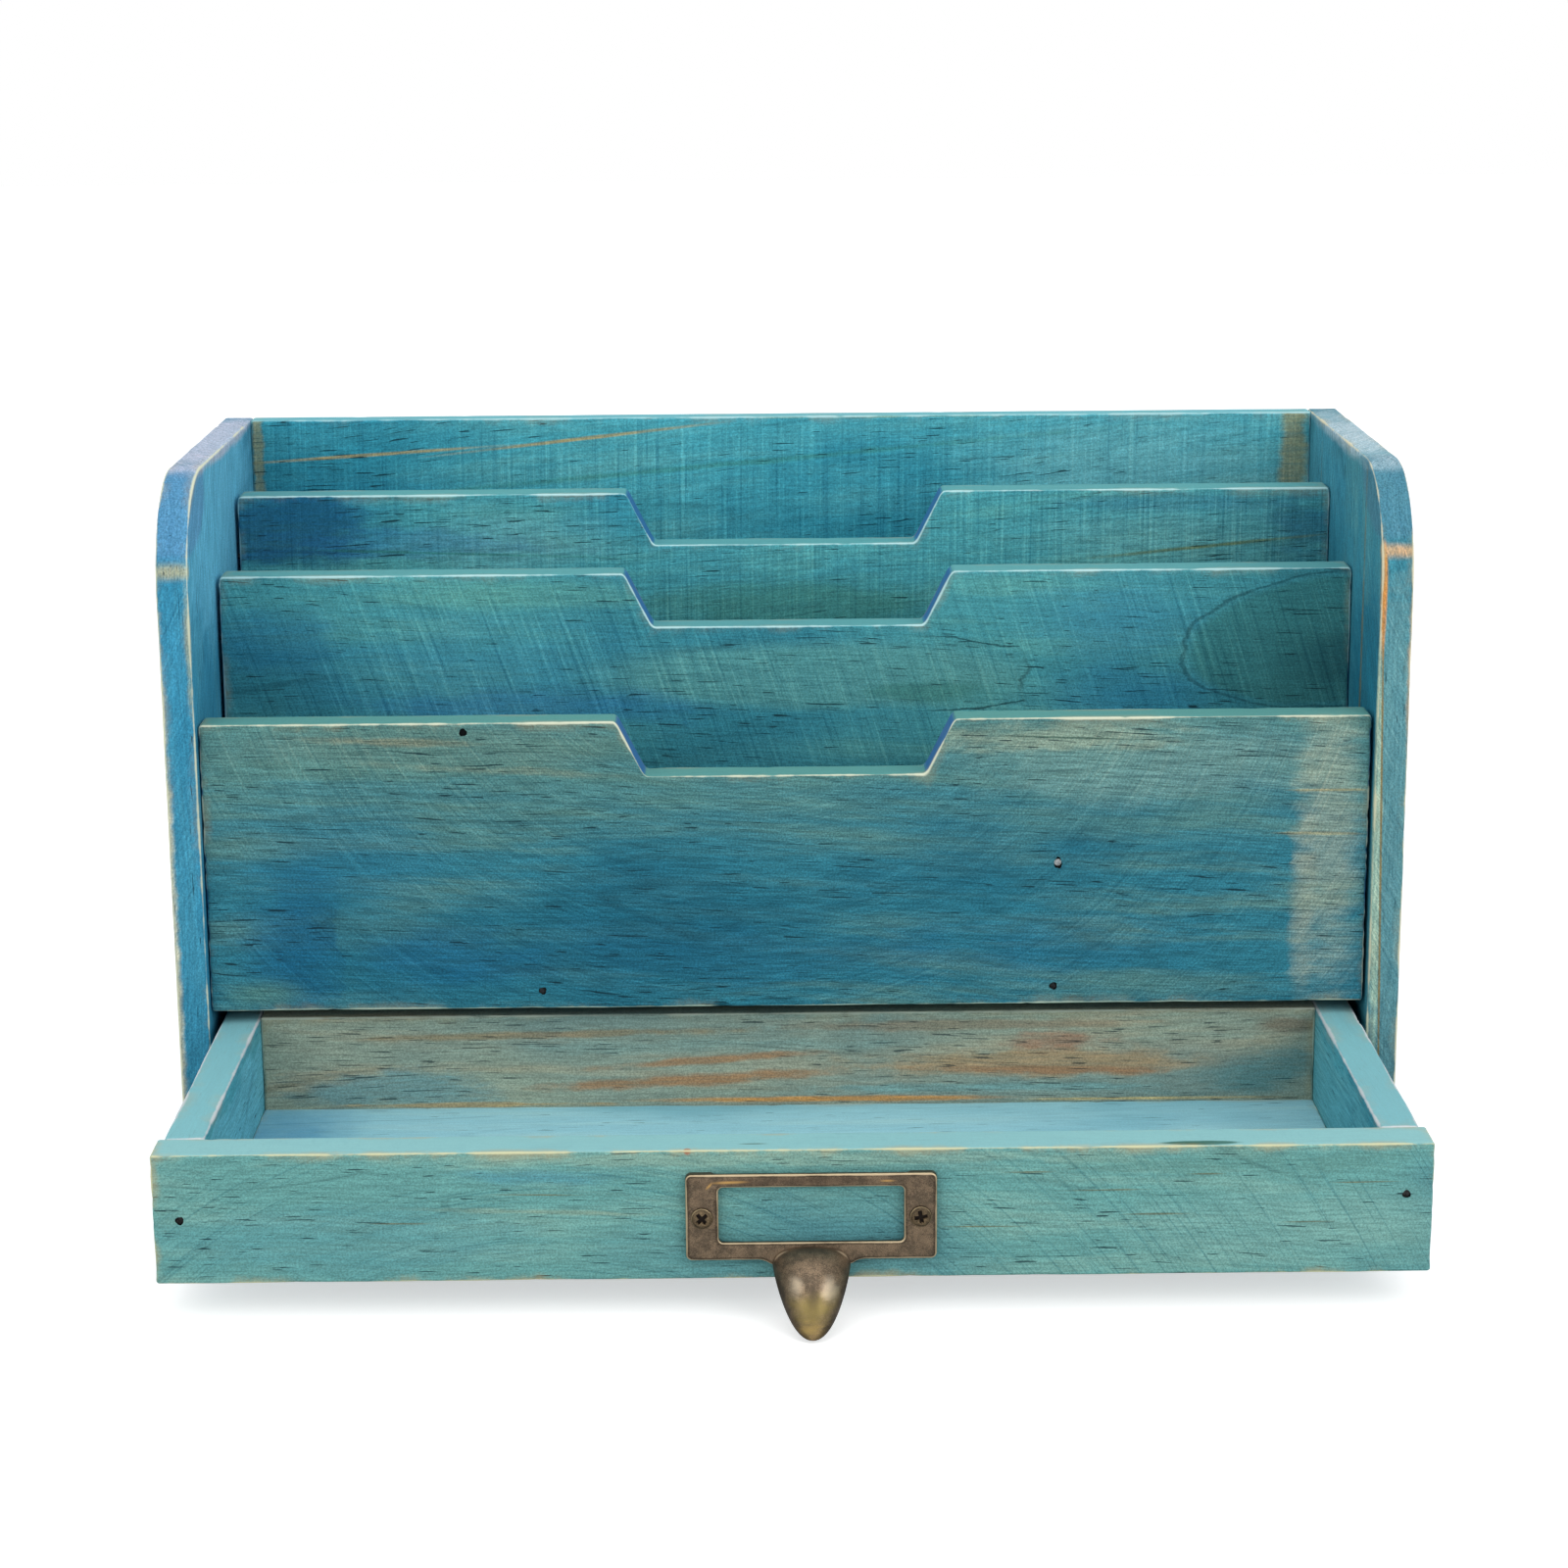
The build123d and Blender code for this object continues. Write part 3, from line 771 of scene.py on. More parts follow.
def use(tree, name, inputs):
    """The outputs of a shared group that is placed in a material with its own values."""
    node = tree.nodes.new("ShaderNodeGroup")
    node.node_tree = group(name)
    connect(tree, node, inputs)
    return node.outputs


def new_material(name):
    """A material with its node tree and its shader."""
    material = bpy.data.materials.new(name)
    material.use_nodes = True
    return material, material.node_tree, material.node_tree.nodes["Principled BSDF"]


def object_millimetres(tree):
    """The place on the object, in millimetres of the frame."""
    place = add(tree, "ShaderNodeTexCoord").outputs["Object"]
    return vector_calc(tree, "MULTIPLY", place, (1000.0, 1000.0, 1000.0))


def bumped(tree, height, strength, distance):
    """The normal that a bump of the given height makes."""
    inputs = {"Strength": strength, "Distance": distance, "Height": height}
    return add(tree, "ShaderNodeBump", inputs).outputs[0]


# ------------------------------------------------------------------------------------ node groups


def grain_group():
    """Pine grain in millimetres, along X. Tone is a slow streak, Line the thin level lines of a smooth
    noise that is stretched along the grain, Fibre a fine streak, Dash the short dark pores, Cloud a
    soft patchiness of the stain and Speck the fuzz of the sawn surface."""
    tree, given, close = shader_group(
        "pine_grain",
        [("Vector", "v", None), ("Seed", "f", 0.0), ("Rings", "f", 7.0), ("Flow", "f", 9.0),
         ("Slant", "f", 0.0), ("Crowd", "f", 0.5)],
        [("Tone", "f"), ("Line", "f"), ("Fibre", "f"), ("Dash", "f"), ("Cloud", "f"), ("Speck", "f")])
    far = combined(tree, *(times(tree, given["Seed"], step) for step in (137.3, 61.7, 91.1)))
    place = vector_calc(tree, "ADD", turned(tree, given["Vector"], given["Slant"]), far)
    bend = vector_calc(tree, "SUBTRACT", noise(tree, place, (0.008, 0.02, 0.02), output=1), (0.5, 0.5, 0.5))
    bend = vector_calc(tree, "MULTIPLY", bend, combined(tree, 0.0, given["Flow"], given["Flow"]))
    bent = vector_calc(tree, "ADD", place, bend)
    figure = noise(tree, bent, (0.0030, 0.026, 0.026), detail=0.5)
    wave = times(tree, times(tree, figure, given["Rings"]), math.tau)
    line = step_up(tree, calc(tree, "SINE", wave), 0.975, 0.998)
    shown = step_up(tree, noise(tree, bent, (0.02, 0.09, 0.09)), 0.45, 0.62)
    crowd = step_up(tree, noise(tree, bent, (0.010, 0.05, 0.05)), 0.34, 0.66)
    dash = noise(tree, bent, (0.11, 2.4, 2.4), detail=0.6)
    dash = calc(tree, "MULTIPLY_ADD", times(tree, crowd, given["Crowd"]), 0.09, dash)
    return close(Tone=noise(tree, bent, (0.012, 0.14, 0.14), detail=4.0, rough=0.62),
                 Line=times(tree, line, shown),
                 Fibre=noise(tree, bent, (0.10, 1.9, 1.9), detail=2.5, rough=0.65),
                 Dash=step_up(tree, dash, 0.752, 0.788),
                 Cloud=noise(tree, place, (0.011, 0.020, 0.020), detail=3.0),
                 Speck=noise(tree, place, (1.9, 2.2, 2.2), rough=0.7))


def saw_group():
    """Arcs left by a round saw about a middle in the board's XZ plane, stronger in some areas than in
    others: a noise of the way from the middle that hardly changes along the arc. A middle that lies far
    away gives straight lines."""
    tree, given, close = shader_group(
        "saw_arcs",
        [("Vector", "v", None), ("Middle", "v", (0, 0, 2000)), ("Radius", "f", 2000.0), ("Gap", "f", 1.0),
         ("Seed", "f", 0.0), ("Lean", "f", 0.0)],
        [("Light", "f"), ("Dark", "f"), ("Height", "f")])
    x, y, z = separated(tree, vector_calc(tree, "SUBTRACT", given["Vector"], given["Middle"]))
    squares = calc(tree, "ADD", times(tree, x, x), times(tree, z, z))
    leaning = calc(tree, "MULTIPLY_ADD", y, given["Lean"], calc(tree, "SQRT", squares))
    far = calc(tree, "ADD", calc(tree, "DIVIDE", leaning, given["Gap"]), given["Seed"])
    arc = times(tree, calc(tree, "ARCTAN2", x, z), given["Radius"])
    place = combined(tree, far, times(tree, arc, 0.017), times(tree, y, 0.2))
    line = noise(tree, place, detail=3.0, rough=0.7)
    area = noise(tree, given["Vector"], (0.016, 0.03, 0.03), detail=3.0)
    strength = step_up(tree, area, 0.34, 0.60, 0.5, 1.0)
    return close(Light=times(tree, step_up(tree, line, 0.53, 0.66), strength),
                 Dark=times(tree, step_up(tree, line, 0.47, 0.34), strength), Height=line)


def wear_and_highlight_group():
    """Wear along the arrises: bare wood where the way from the arris is under a width that wanders. Bright is
    a narrow line that is partly rubbed wood and partly a painted highlight, and Stained a wider band of worn
    stain.
    """
    tree, given, close = shader_group(
        "arris_wear_and_highlight",
        [("Vector", "v", None), ("Width", "f", 0.5), ("Amount", "f", 1.0)],
        [("Bright", "f"), ("Stained", "f")])
    broad = noise(tree, given["Vector"], (0.045, 0.045, 0.045), detail=5.0, rough=0.66)
    width = times(tree, given["Width"], step_up(tree, broad, 0.36, 0.70, 0.7, 1.9))
    ratio = calc(tree, "DIVIDE", attribute(tree, "arris"), width)
    narrow = times(tree, step_up(tree, ratio, 1.15, 0.35), step_up(tree, broad, 0.30, 0.52, 0.45, 1.0))
    wide = times(tree, step_up(tree, ratio, 4.5, 0.6), given["Amount"])
    return close(Bright=times(tree, narrow, given["Amount"]),
                 Stained=times(tree, wide, step_up(tree, broad, 0.44, 0.64)))


def patch_group():
    """A patch of colour, used for stains and wear and for painted light and shade: an ellipsoid about a
    middle, in millimetres, with a rim that a noise makes uneven."""
    tree, given, close = shader_group(
        "stain_and_painted_light_patch",
        [("Vector", "v", None), ("Middle", "v", (0, 0, 0)), ("Reach", "v", (10, 1000, 10)),
         ("Turn", "f", 0.0), ("Ragged", "f", 0.4), ("Soft", "f", 0.4)],
        [("Mask", "f"), ("Rim", "f")])
    away = turned(tree, vector_calc(tree, "SUBTRACT", given["Vector"], given["Middle"]), given["Turn"])
    share = vector_calc(tree, "DIVIDE", away, given["Reach"])
    far = add(tree, "ShaderNodeVectorMath", {0: share}, operation="LENGTH").outputs["Value"]
    rough = noise(tree, given["Vector"], (0.06, 0.06, 0.20), detail=5.0, rough=0.62)
    push = times(tree, calc(tree, "SUBTRACT", rough, 0.5), given["Ragged"])
    far = calc(tree, "MULTIPLY_ADD", push, 2.4, far)
    mask = step_up(tree, far, 1.0, calc(tree, "SUBTRACT", 1.0, given["Soft"]))
    return close(Mask=mask, Rim=times(tree, step_up(tree, far, 0.965, 0.99), step_up(tree, far, 1.02, 1.0)))


def bronze_group():
    """Old bronze: a brown patina with a fine mottle, small dark specks and lighter metal where it is
    rubbed."""
    tree, given, close = shader_group(
        "old_bronze",
        [("Vector", "v", None), ("Dark", "c", None), ("Brown", "c", None), ("Seed", "f", 0.0)],
        [("Color", "c"), ("Height", "f"), ("Cloud", "f")])
    place = vector_calc(tree, "ADD", given["Vector"], given["Seed"])
    cloud = noise(tree, place, scale=0.30, detail=6.0, rough=0.74)
    speck = noise(tree, place, scale=1.9, detail=4.0, rough=0.7)
    fine = noise(tree, place, scale=5.0, rough=0.6)
    colour = blend(tree, step_up(tree, cloud, 0.38, 0.62), given["Dark"], given["Brown"])
    colour = blend(tree, step_up(tree, speck, 0.42, 0.30, 0.0, 0.7), colour, (0.05, 0.035, 0.025))
    colour = blend(tree, step_up(tree, speck, 0.60, 0.75, 0.0, 0.6), colour, (0.42, 0.33, 0.22))
    colour = blend(tree, 1.0, colour, grey(tree, step_up(tree, fine, 0.3, 0.7, 0.58, 1.44)), "MULTIPLY")
    return close(Color=colour, Height=calc(tree, "MULTIPLY_ADD", speck, 0.7, fine), Cloud=cloud)


MAKERS = {"grain": grain_group, "saw": saw_group, "wear": wear_and_highlight_group, "patch": patch_group,
          "bronze": bronze_group}
GROUPS = {}


def group(name):
    """A shared node group, built once."""
    if name not in GROUPS:
        GROUPS[name] = MAKERS[name]()
    return GROUPS[name]


# -------------------------------------------------------------------------------------- materials


# How a board lies: the turn that brings its grain to X and its wide face to the XZ plane.
LIE = {
    "across": (0.0, 0.0, 0.0),
    "upright": (math.pi / 2, 0.0, math.pi / 2),
    "deep": (0.0, 0.0, -math.pi / 2),
    "level": (math.pi / 2, 0.0, 0.0),
}


def patch(tone, middle, reach, strength, turn=0.0, ragged=0.4, soft=0.6, rim=0.0, rim_from=None,
          left_of=None, right_of=None):
    """One patch of colour, used for stains and wear and for painted light and shade: its tone, its middle and
    reach in millimetres of the frame (x and z, or x, y and z), how strong, turned in degrees, ragged and
    soft it is, how dark its rim is and from which x, and the x that it stays left or right of."""
    if len(middle) == 2:
        middle = (middle[0], 0.0, middle[1])
        reach = (reach[0], 1e4, reach[1])
    return {"tone": tone, "middle": middle, "reach": reach, "strength": strength, "turn": turn,
            "ragged": ragged, "soft": soft, "rim": rim, "rim_from": rim_from, "left_of": left_of,
            "right_of": right_of}


def add_patch(tree, colour, spec, millimetres, grain):
    """The colour with one patch over it, a stain, wear, painted light or painted shade, streaked by the
    grain's fibre. It is cut off along a line that the grain's tone bends, and a patch with a rim and a
    right end has the rim there too."""
    made = use(tree, "patch", {"Vector": millimetres, "Middle": spec["middle"], "Reach": spec["reach"],
                               "Turn": math.radians(spec["turn"]), "Ragged": spec["ragged"],
                               "Soft": spec["soft"]})
    streaked = step_up(tree, grain["Fibre"], 0.30, 0.62, 0.75, 1.0)
    share = times(tree, times(tree, made["Mask"], streaked), spec["strength"])
    x = separated(tree, millimetres)[0]
    wavy = calc(tree, "MULTIPLY_ADD", calc(tree, "SUBTRACT", grain["Tone"], 0.5), 12.0, x)
    left_of = spec["left_of"]
    right_of = spec["right_of"]
    if left_of is not None:
        kept = step_up(tree, wavy, left_of + 0.6, left_of - 0.6)
        share = times(tree, share, kept)
    if right_of is not None:
        share = times(tree, share, step_up(tree, wavy, right_of - 0.6, right_of + 0.6))
    colour = blend(tree, share, colour, shade(spec["tone"]))
    if not spec["rim"]:
        return colour
    rim = times(tree, made["Rim"], spec["rim"])
    if spec["rim_from"] is not None:
        rim = times(tree, rim, step_up(tree, x, spec["rim_from"] - 8.0, spec["rim_from"] + 8.0))
    if left_of is not None:
        line = times(tree, step_up(tree, wavy, left_of - 1.3, left_of - 0.5),
                     step_up(tree, wavy, left_of + 0.7, left_of))
        cut = times(tree, times(tree, line, made["Mask"]), spec["rim"])
        rim = calc(tree, "MAXIMUM", times(tree, rim, kept), cut)
    return blend(tree, rim, colour, bpy.context.scene.sorter_stain.pore)


def stained_pine(name, lie, tones, seed, patches=(), rings=7.0, line=0.3, saw_middle=(0.0, 2000.0),
                 saw_gap=1.0, saw=0.4, pale_saw=1.0, lean=0.0, dash=0.85, crowd=0.5, slant=0.0,
                 wear_and_highlight_width=0.45, tan=0.25, edge_tone="#cfe0d2", lit_top_tone=None, notch_tone=None,
                 fade=None, washed=0.5, streak=0.18, fuzz=0.24, smears=()):
    """Stained pine. tones are the deep, middle and thin stain, as they lie in clouds and streaks. fade is
    (tone, low, high, share), a tone that comes in between two heights. saw_middle is the middle of the
    saw's arcs on the board's face, and pale_saw the share of its pale lines beside its dark ones. smears
    are patches over everything but the arrises. The top tone is painted light on the faces that look
    upwards, and the edge tone a narrow line along the arrises, partly rubbed pale wood and partly a
    painted highlight. The rest say how strong each part of the finish is."""
    stain = bpy.context.scene.sorter_stain
    material, tree, shader = new_material(name)
    millimetres = object_millimetres(tree)
    board = add(tree, "ShaderNodeMapping", {"Vector": millimetres, "Rotation": LIE[lie]}).outputs[0]
    grain = use(tree, "grain", {"Vector": board, "Seed": seed, "Rings": rings,
                                "Slant": math.radians(slant), "Crowd": crowd})
    marks = use(tree, "saw", {"Vector": board, "Middle": (saw_middle[0], 0.0, saw_middle[1]),
                              "Radius": math.hypot(*saw_middle), "Gap": saw_gap, "Seed": seed,
                              "Lean": lean})
    worn = use(tree, "wear", {"Vector": millimetres, "Width": wear_and_highlight_width, "Amount": 0.9})

    deep, middle, thin = (shade(tone) for tone in tones)
    colour = blend(tree, step_up(tree, grain["Cloud"], 0.34, 0.58), deep, middle)
    thinner = times(tree, step_up(tree, grain["Tone"], 0.42, 0.66),
                    step_up(tree, grain["Cloud"], 0.40, 0.66, 0.2, 1.0))
    colour = blend(tree, times(tree, thinner, washed), colour, thin)
    if fade:
        fade_tone, low, high, share = fade
        wavy = separated(tree, millimetres)[2]
        for key, sway in (("Cloud", 60.0), ("Tone", 40.0)):
            wavy = calc(tree, "MULTIPLY_ADD", calc(tree, "SUBTRACT", grain[key], 0.5), sway, wavy)
        colour = blend(tree, step_up(tree, wavy, low, high, 0.0, share), colour, shade(fade_tone))
    for spec in patches:
        colour = add_patch(tree, colour, spec, millimetres, grain)

    light = step_up(tree, grain["Fibre"], 0.28, 0.74, 1.0 - streak, 1.0 + streak)
    fuzzy = step_up(tree, grain["Speck"], 0.28, 0.74, 1.0 - fuzz, 1.0 + fuzz)
    colour = blend(tree, 1.0, colour, grey(tree, times(tree, light, fuzzy)), "MULTIPLY")
    for mark, share, tint in ((marks["Light"], saw * pale_saw, (1.9, 1.5, 1.4)),
                              (marks["Dark"], saw, (0.42, 0.58, 0.66)),
                              (grain["Line"], line, (0.30, 0.34, 0.36))):
        colour = blend(tree, times(tree, mark, share), colour, tint, "MULTIPLY")
    colour = blend(tree, times(tree, grain["Dash"], dash), colour, stain.pore)
    normal = separated(tree, add(tree, "ShaderNodeNewGeometry").outputs["Normal"])
    # Painted light from above: faces that look upwards blend towards the top tone.
    if lit_top_tone:
        colour = blend(tree, step_up(tree, normal[2], 0.55, 0.95, 0.0, 0.8), colour, shade(lit_top_tone))
    if notch_tone:
        sideways = step_up(tree, calc(tree, "ABSOLUTE", normal[0]), 0.55, 0.85, 0.0, 0.85)
        colour = blend(tree, sideways, colour, shade(notch_tone))
    for spec in smears:
        colour = add_patch(tree, colour, spec, millimetres, grain)
    colour = blend(tree, times(tree, worn["Stained"], tan), colour, stain.tan)
    # Edge tone along each arris: partly rubbed pale wood, partly a painted highlight line.
    colour = blend(tree, worn["Bright"], colour, shade(edge_tone))
    # Painted shade: the inside of each brad's pit goes near black.
    colour = blend(tree, attribute(tree, "pit"), colour, stain.pit)

    height = calc(tree, "MULTIPLY_ADD", grain["Fibre"], 0.5, times(tree, grain["Speck"], 0.5))
    height = calc(tree, "MULTIPLY_ADD", marks["Height"], 0.7 * saw + 0.1, height)
    height = calc(tree, "MULTIPLY_ADD", grain["Dash"], -0.9, height)
    connect(tree, shader, {"Base Color": colour, "Specular IOR Level": 0.12,
                           "Roughness": step_up(tree, grain["Tone"], 0.3, 0.7, 0.66, 0.84),
                           "Normal": bumped(tree, height, 0.45, 0.15 * MM)})
    return material


def bronze(name, dark, brown, rough, rubs_and_painted_reflections=(), edge=None, seed=0.0):
    """Antique bronze. Its patches are rubs to brighter metal as well as painted highlights and painted dark
    reflections. edge is the colour of its rubbed edges, partly a painted highlight; with an edge, the metal
    is also darkened towards its arrises as a painted dark reflection, and its pits are painted near black
    as shade."""
    material, tree, shader = new_material(name)
    millimetres = object_millimetres(tree)
    patina = use(tree, "bronze", {"Vector": millimetres, "Dark": shade(dark) + (1.0,),
                                  "Brown": shade(brown) + (1.0,), "Seed": seed})
    colour = patina["Color"]
    mottle = {"Fibre": patina["Height"], "Tone": patina["Cloud"]}
    for spec in rubs_and_painted_reflections:
        colour = add_patch(tree, colour, spec, millimetres, mottle)
    if edge:
        # Painted dark reflection: the metal darkens towards its arrises and rims.
        painted_dark_rims = step_up(tree, attribute(tree, "arris"), 0.2, 2.6, 0.48, 1.0)
        colour = blend(tree, 1.0, colour, grey(tree, painted_dark_rims), "MULTIPLY")
        worn = use(tree, "wear", {"Vector": millimetres, "Width": 0.11, "Amount": 0.6})
        # The rubbed edge colour, partly a painted highlight along the edges and round the screw heads' rims.
        colour = blend(tree, worn["Bright"], colour, shade(edge))
        # Painted shade: the screws' cross recesses go near black.
        colour = blend(tree, attribute(tree, "pit"), colour, (0.012, 0.008, 0.006))
    connect(tree, shader, {"Base Color": colour, "Metallic": 0.82,
                           "Roughness": step_up(tree, patina["Height"], 0.4, 1.1, rough, rough + 0.2),
                           "Normal": bumped(tree, patina["Height"], 0.4, 0.07 * MM)})
    return material


def dress(names, material):
    """Gives CAD nodes that keep their own mesh a finish."""
    for name in names:
        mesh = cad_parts[name].data
        mesh.materials.clear()
        mesh.materials.append(material)


# -------------------------------------------------------------------------------------- operators


def notch_crest(node, middle, sizes):
    """The top edge of a notched board as a function of x: level, down a straight slant into the notch and
    up again, each corner eased by averaging over a short window, with soft ends."""
    low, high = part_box(node)
    window = np.linspace(-1.0, 1.0, 9) * sizes.notch_ease
    run = (sizes.notch_top - sizes.notch_floor) / 2

    def crest(x):
        far = np.abs(x[..., None] - middle + window)
        share = np.clip((sizes.notch_top / 2 - far) / run, 0.0, 1.0).mean(-1)
        end_near = np.clip(np.minimum(x - low[0], high[0] - x), 0.0, sizes.soft_end)
        rounded = sizes.soft_end - np.sqrt(sizes.soft_end ** 2 - (sizes.soft_end - end_near) ** 2)
        return high[2] - share * sizes.notch_depth - rounded

    return crest


class SORTER_OT_side_boards(bpy.types.Operator):
    """Make the two upright sides with their round upper front corners"""

    bl_idname = "sorter.side_boards"
    bl_label = "Side Boards"

    def execute(self, context):
        sizes = context.scene.sorter_boards
        radii = (sizes.arris, sizes.arris, sizes.side_corner, sizes.arris)
        sides = (("left_side", -1, self.left_finish()), ("right_side", 1, self.right_finish()))
        for number, (node, outward, finish) in enumerate(sides):
            make_board(node, "carcass", "side_wood", finish, 100 + number * 40, radii=radii, row=2.0 * MM,
                       pits=brad_pits(node, 0, outward, 7 + number))
        return {"FINISHED"}

    def left_finish(self):
        """Bright blue, with a broad tan outer arris, a tan line under the round corner, painted light over
        the upper inner face and a painted pale sheen along the top.
        """
        # 69bbdb is painted light over the upper inner face.
        patches = (patch("#69bbdb", (-156.3, -10, 174), (2.2, 90, 42), 0.8, ragged=0.3, soft=0.6),
                   patch("#c9c6a8", (-165.2, -64.8, 60), (2.4, 3.0, 130), 0.8, ragged=0.5, soft=0.7),
                   patch("#9fae96", (-157.2, -64.8, 146), (1.2, 3.0, 26), 0.7, ragged=0.5, soft=0.8),
                   patch("#b3ae84", (-161, -63.2, 167.0), (16.0, 3.6, 3.4), 0.75, ragged=0.3, soft=0.9),
                   patch("#5a8fb8", (-161, -58, 186), (30, 30, 17.6), 0.75, ragged=0.08, soft=0.2),
                   # b9c0d3 is a painted pale sheen along the top.
                   patch("#b9c0d3", (-161, 10, 192), (30, 75, 5), 0.85, ragged=0.3, soft=0.5))
        return stained_pine("left_side_stain", "upright", ("#2a7b9b", "#3c8fb0", "#62a6b0"), 3.0, patches,
                            saw_middle=(900.0, -900.0), saw_gap=0.8, saw=0.55, lean=1.3, crowd=0.2,
                            edge_tone="#d9dcc0")

    def right_finish(self):
        """Greener and darker. A brown line that leans runs down the front edge, pale wood inside it, from
        a tan line under the round corner, and two brown streaks run down the inner face. The upper inner face
        has painted light, and the top a painted pale sheen."""
        patches = (patch("#1b5c72", (156.3, -50, 130), (2.2, 34, 36), 0.85, ragged=0.3, soft=0.5),
                   # 4a9bb2 is painted light over the upper inner face.
                   patch("#4a9bb2", (156.3, 30, 175), (2.2, 50, 24), 0.7, ragged=0.3, soft=0.5),
                   patch("#2585a2", (156.3, 0, 122), (2.2, 90, 70), 0.5, ragged=0.3, soft=0.5),
                   patch("#6f9494", (161, -64.8, 85), (9.0, 2.5, 90), 0.5, ragged=0.3, soft=0.3),
                   patch("#a3bfa9", (157.2, -64.8, 96), (2.0, 3.0, 82), 0.8, turn=1.3, ragged=0.25, soft=0.5),
                   patch("#7d6b3e", (158.9, -64.8, 80), (0.4, 3.0, 110), 0.9, turn=1.3, ragged=0.2, soft=0.5),
                   patch("#c98a45", (157.3, -64.0, 160), (1.0, 3.6, 22), 0.95, ragged=0.1, soft=0.5),
                   patch("#c8a67c", (161, -62.8, 169.8), (16.0, 3.6, 2.8), 0.9, ragged=0.3, soft=0.9),
                   patch("#b99a78", (165.2, -64.8, 138), (1.5, 3.0, 34), 0.7, ragged=0.5, soft=0.7),
                   patch("#4d7f94", (161, -58, 188.4), (30, 30, 17.6), 0.75, ragged=0.08, soft=0.2),
                   patch("#6f6a45", (156.3, -38, 120), (2.0, 2.2, 90), 0.7, ragged=0.5, soft=0.7),
                   patch("#67683f", (156.3, 36, 120), (2.0, 2.6, 90), 0.6, ragged=0.5, soft=0.7),
                   # b3cad4 is a painted pale sheen along the top.
                   patch("#b3cad4", (161, 5, 192), (30, 72, 6), 0.85, ragged=0.4, soft=0.7))
        return stained_pine("right_side_stain", "upright", ("#2b7082", "#3f8a9c", "#6aa5a4"), 4.0, patches,
                            saw_middle=(900.0, -900.0), saw_gap=0.8, saw=0.55, lean=-1.3, crowd=0.2,
                            edge_tone="#d9d3b4")


class SORTER_OT_level_boards(bpy.types.Operator):
    """Make the back, the base and the shelf"""

    bl_idname = "sorter.level_boards"
    bl_label = "Back, Base and Shelf"

    def execute(self, context):
        make_board("back_panel", "carcass", "back_wood", self.back_finish(), 200, name="back_board",
                   pits=brad_pits("back_panel", 1, 1, 21))
        for number, (node, slot) in enumerate((("base_board", "back_wood"), ("slot_shelf", "divider_wood"))):
            finish = stained_pine(node + "_stain", "level", ("#246a80", "#37879b", "#5b9a9a"), 14.0 + number)
            make_board(node, "carcass", slot, finish, 240 + number * 40)
        return {"FINISHED"}

    def back_finish(self):
        """Teal, with upright saw lines, a resin streak that rises to the right and tan ends."""
        patches = (patch("#2a87a2", (-125, 168), (40, 10), 0.6),
                   patch("#7abcc2", (105, 176), (70, 24), 0.5, soft=0.9),
                   patch("#ac9c66", (-122, 180.0), (54, 0.75), 0.9, turn=3.6, ragged=0.22, soft=0.8),
                   patch("#ac9c66", (-59, 184.3), (54, 0.75), 0.9, turn=6.2, ragged=0.22, soft=0.8),
                   patch("#93a078", (20, 190.2), (70, 0.6), 0.6, ragged=0.9, soft=0.9),
                   patch("#3a7f6e", (-20, 176), (150, 1.2), 0.5, turn=5.0, ragged=0.8, soft=0.9),
                   patch("#8a8a62", (151.5, 185), (5.0, 40), 0.8, ragged=0.6),
                   patch("#8a8c64", (-154.6, 180), (2.2, 30), 0.75, ragged=0.6))
        return stained_pine("back_stain", "across", ("#2f8ba1", "#46a1b1", "#6cb4b4"), 11.0, patches,
                            saw_middle=(3000.0, 150.0), saw_gap=0.8, saw=0.62, slant=4.0, crowd=0.8,
                            edge_tone="#a9d3d8", lit_top_tone="#6fb3bd")


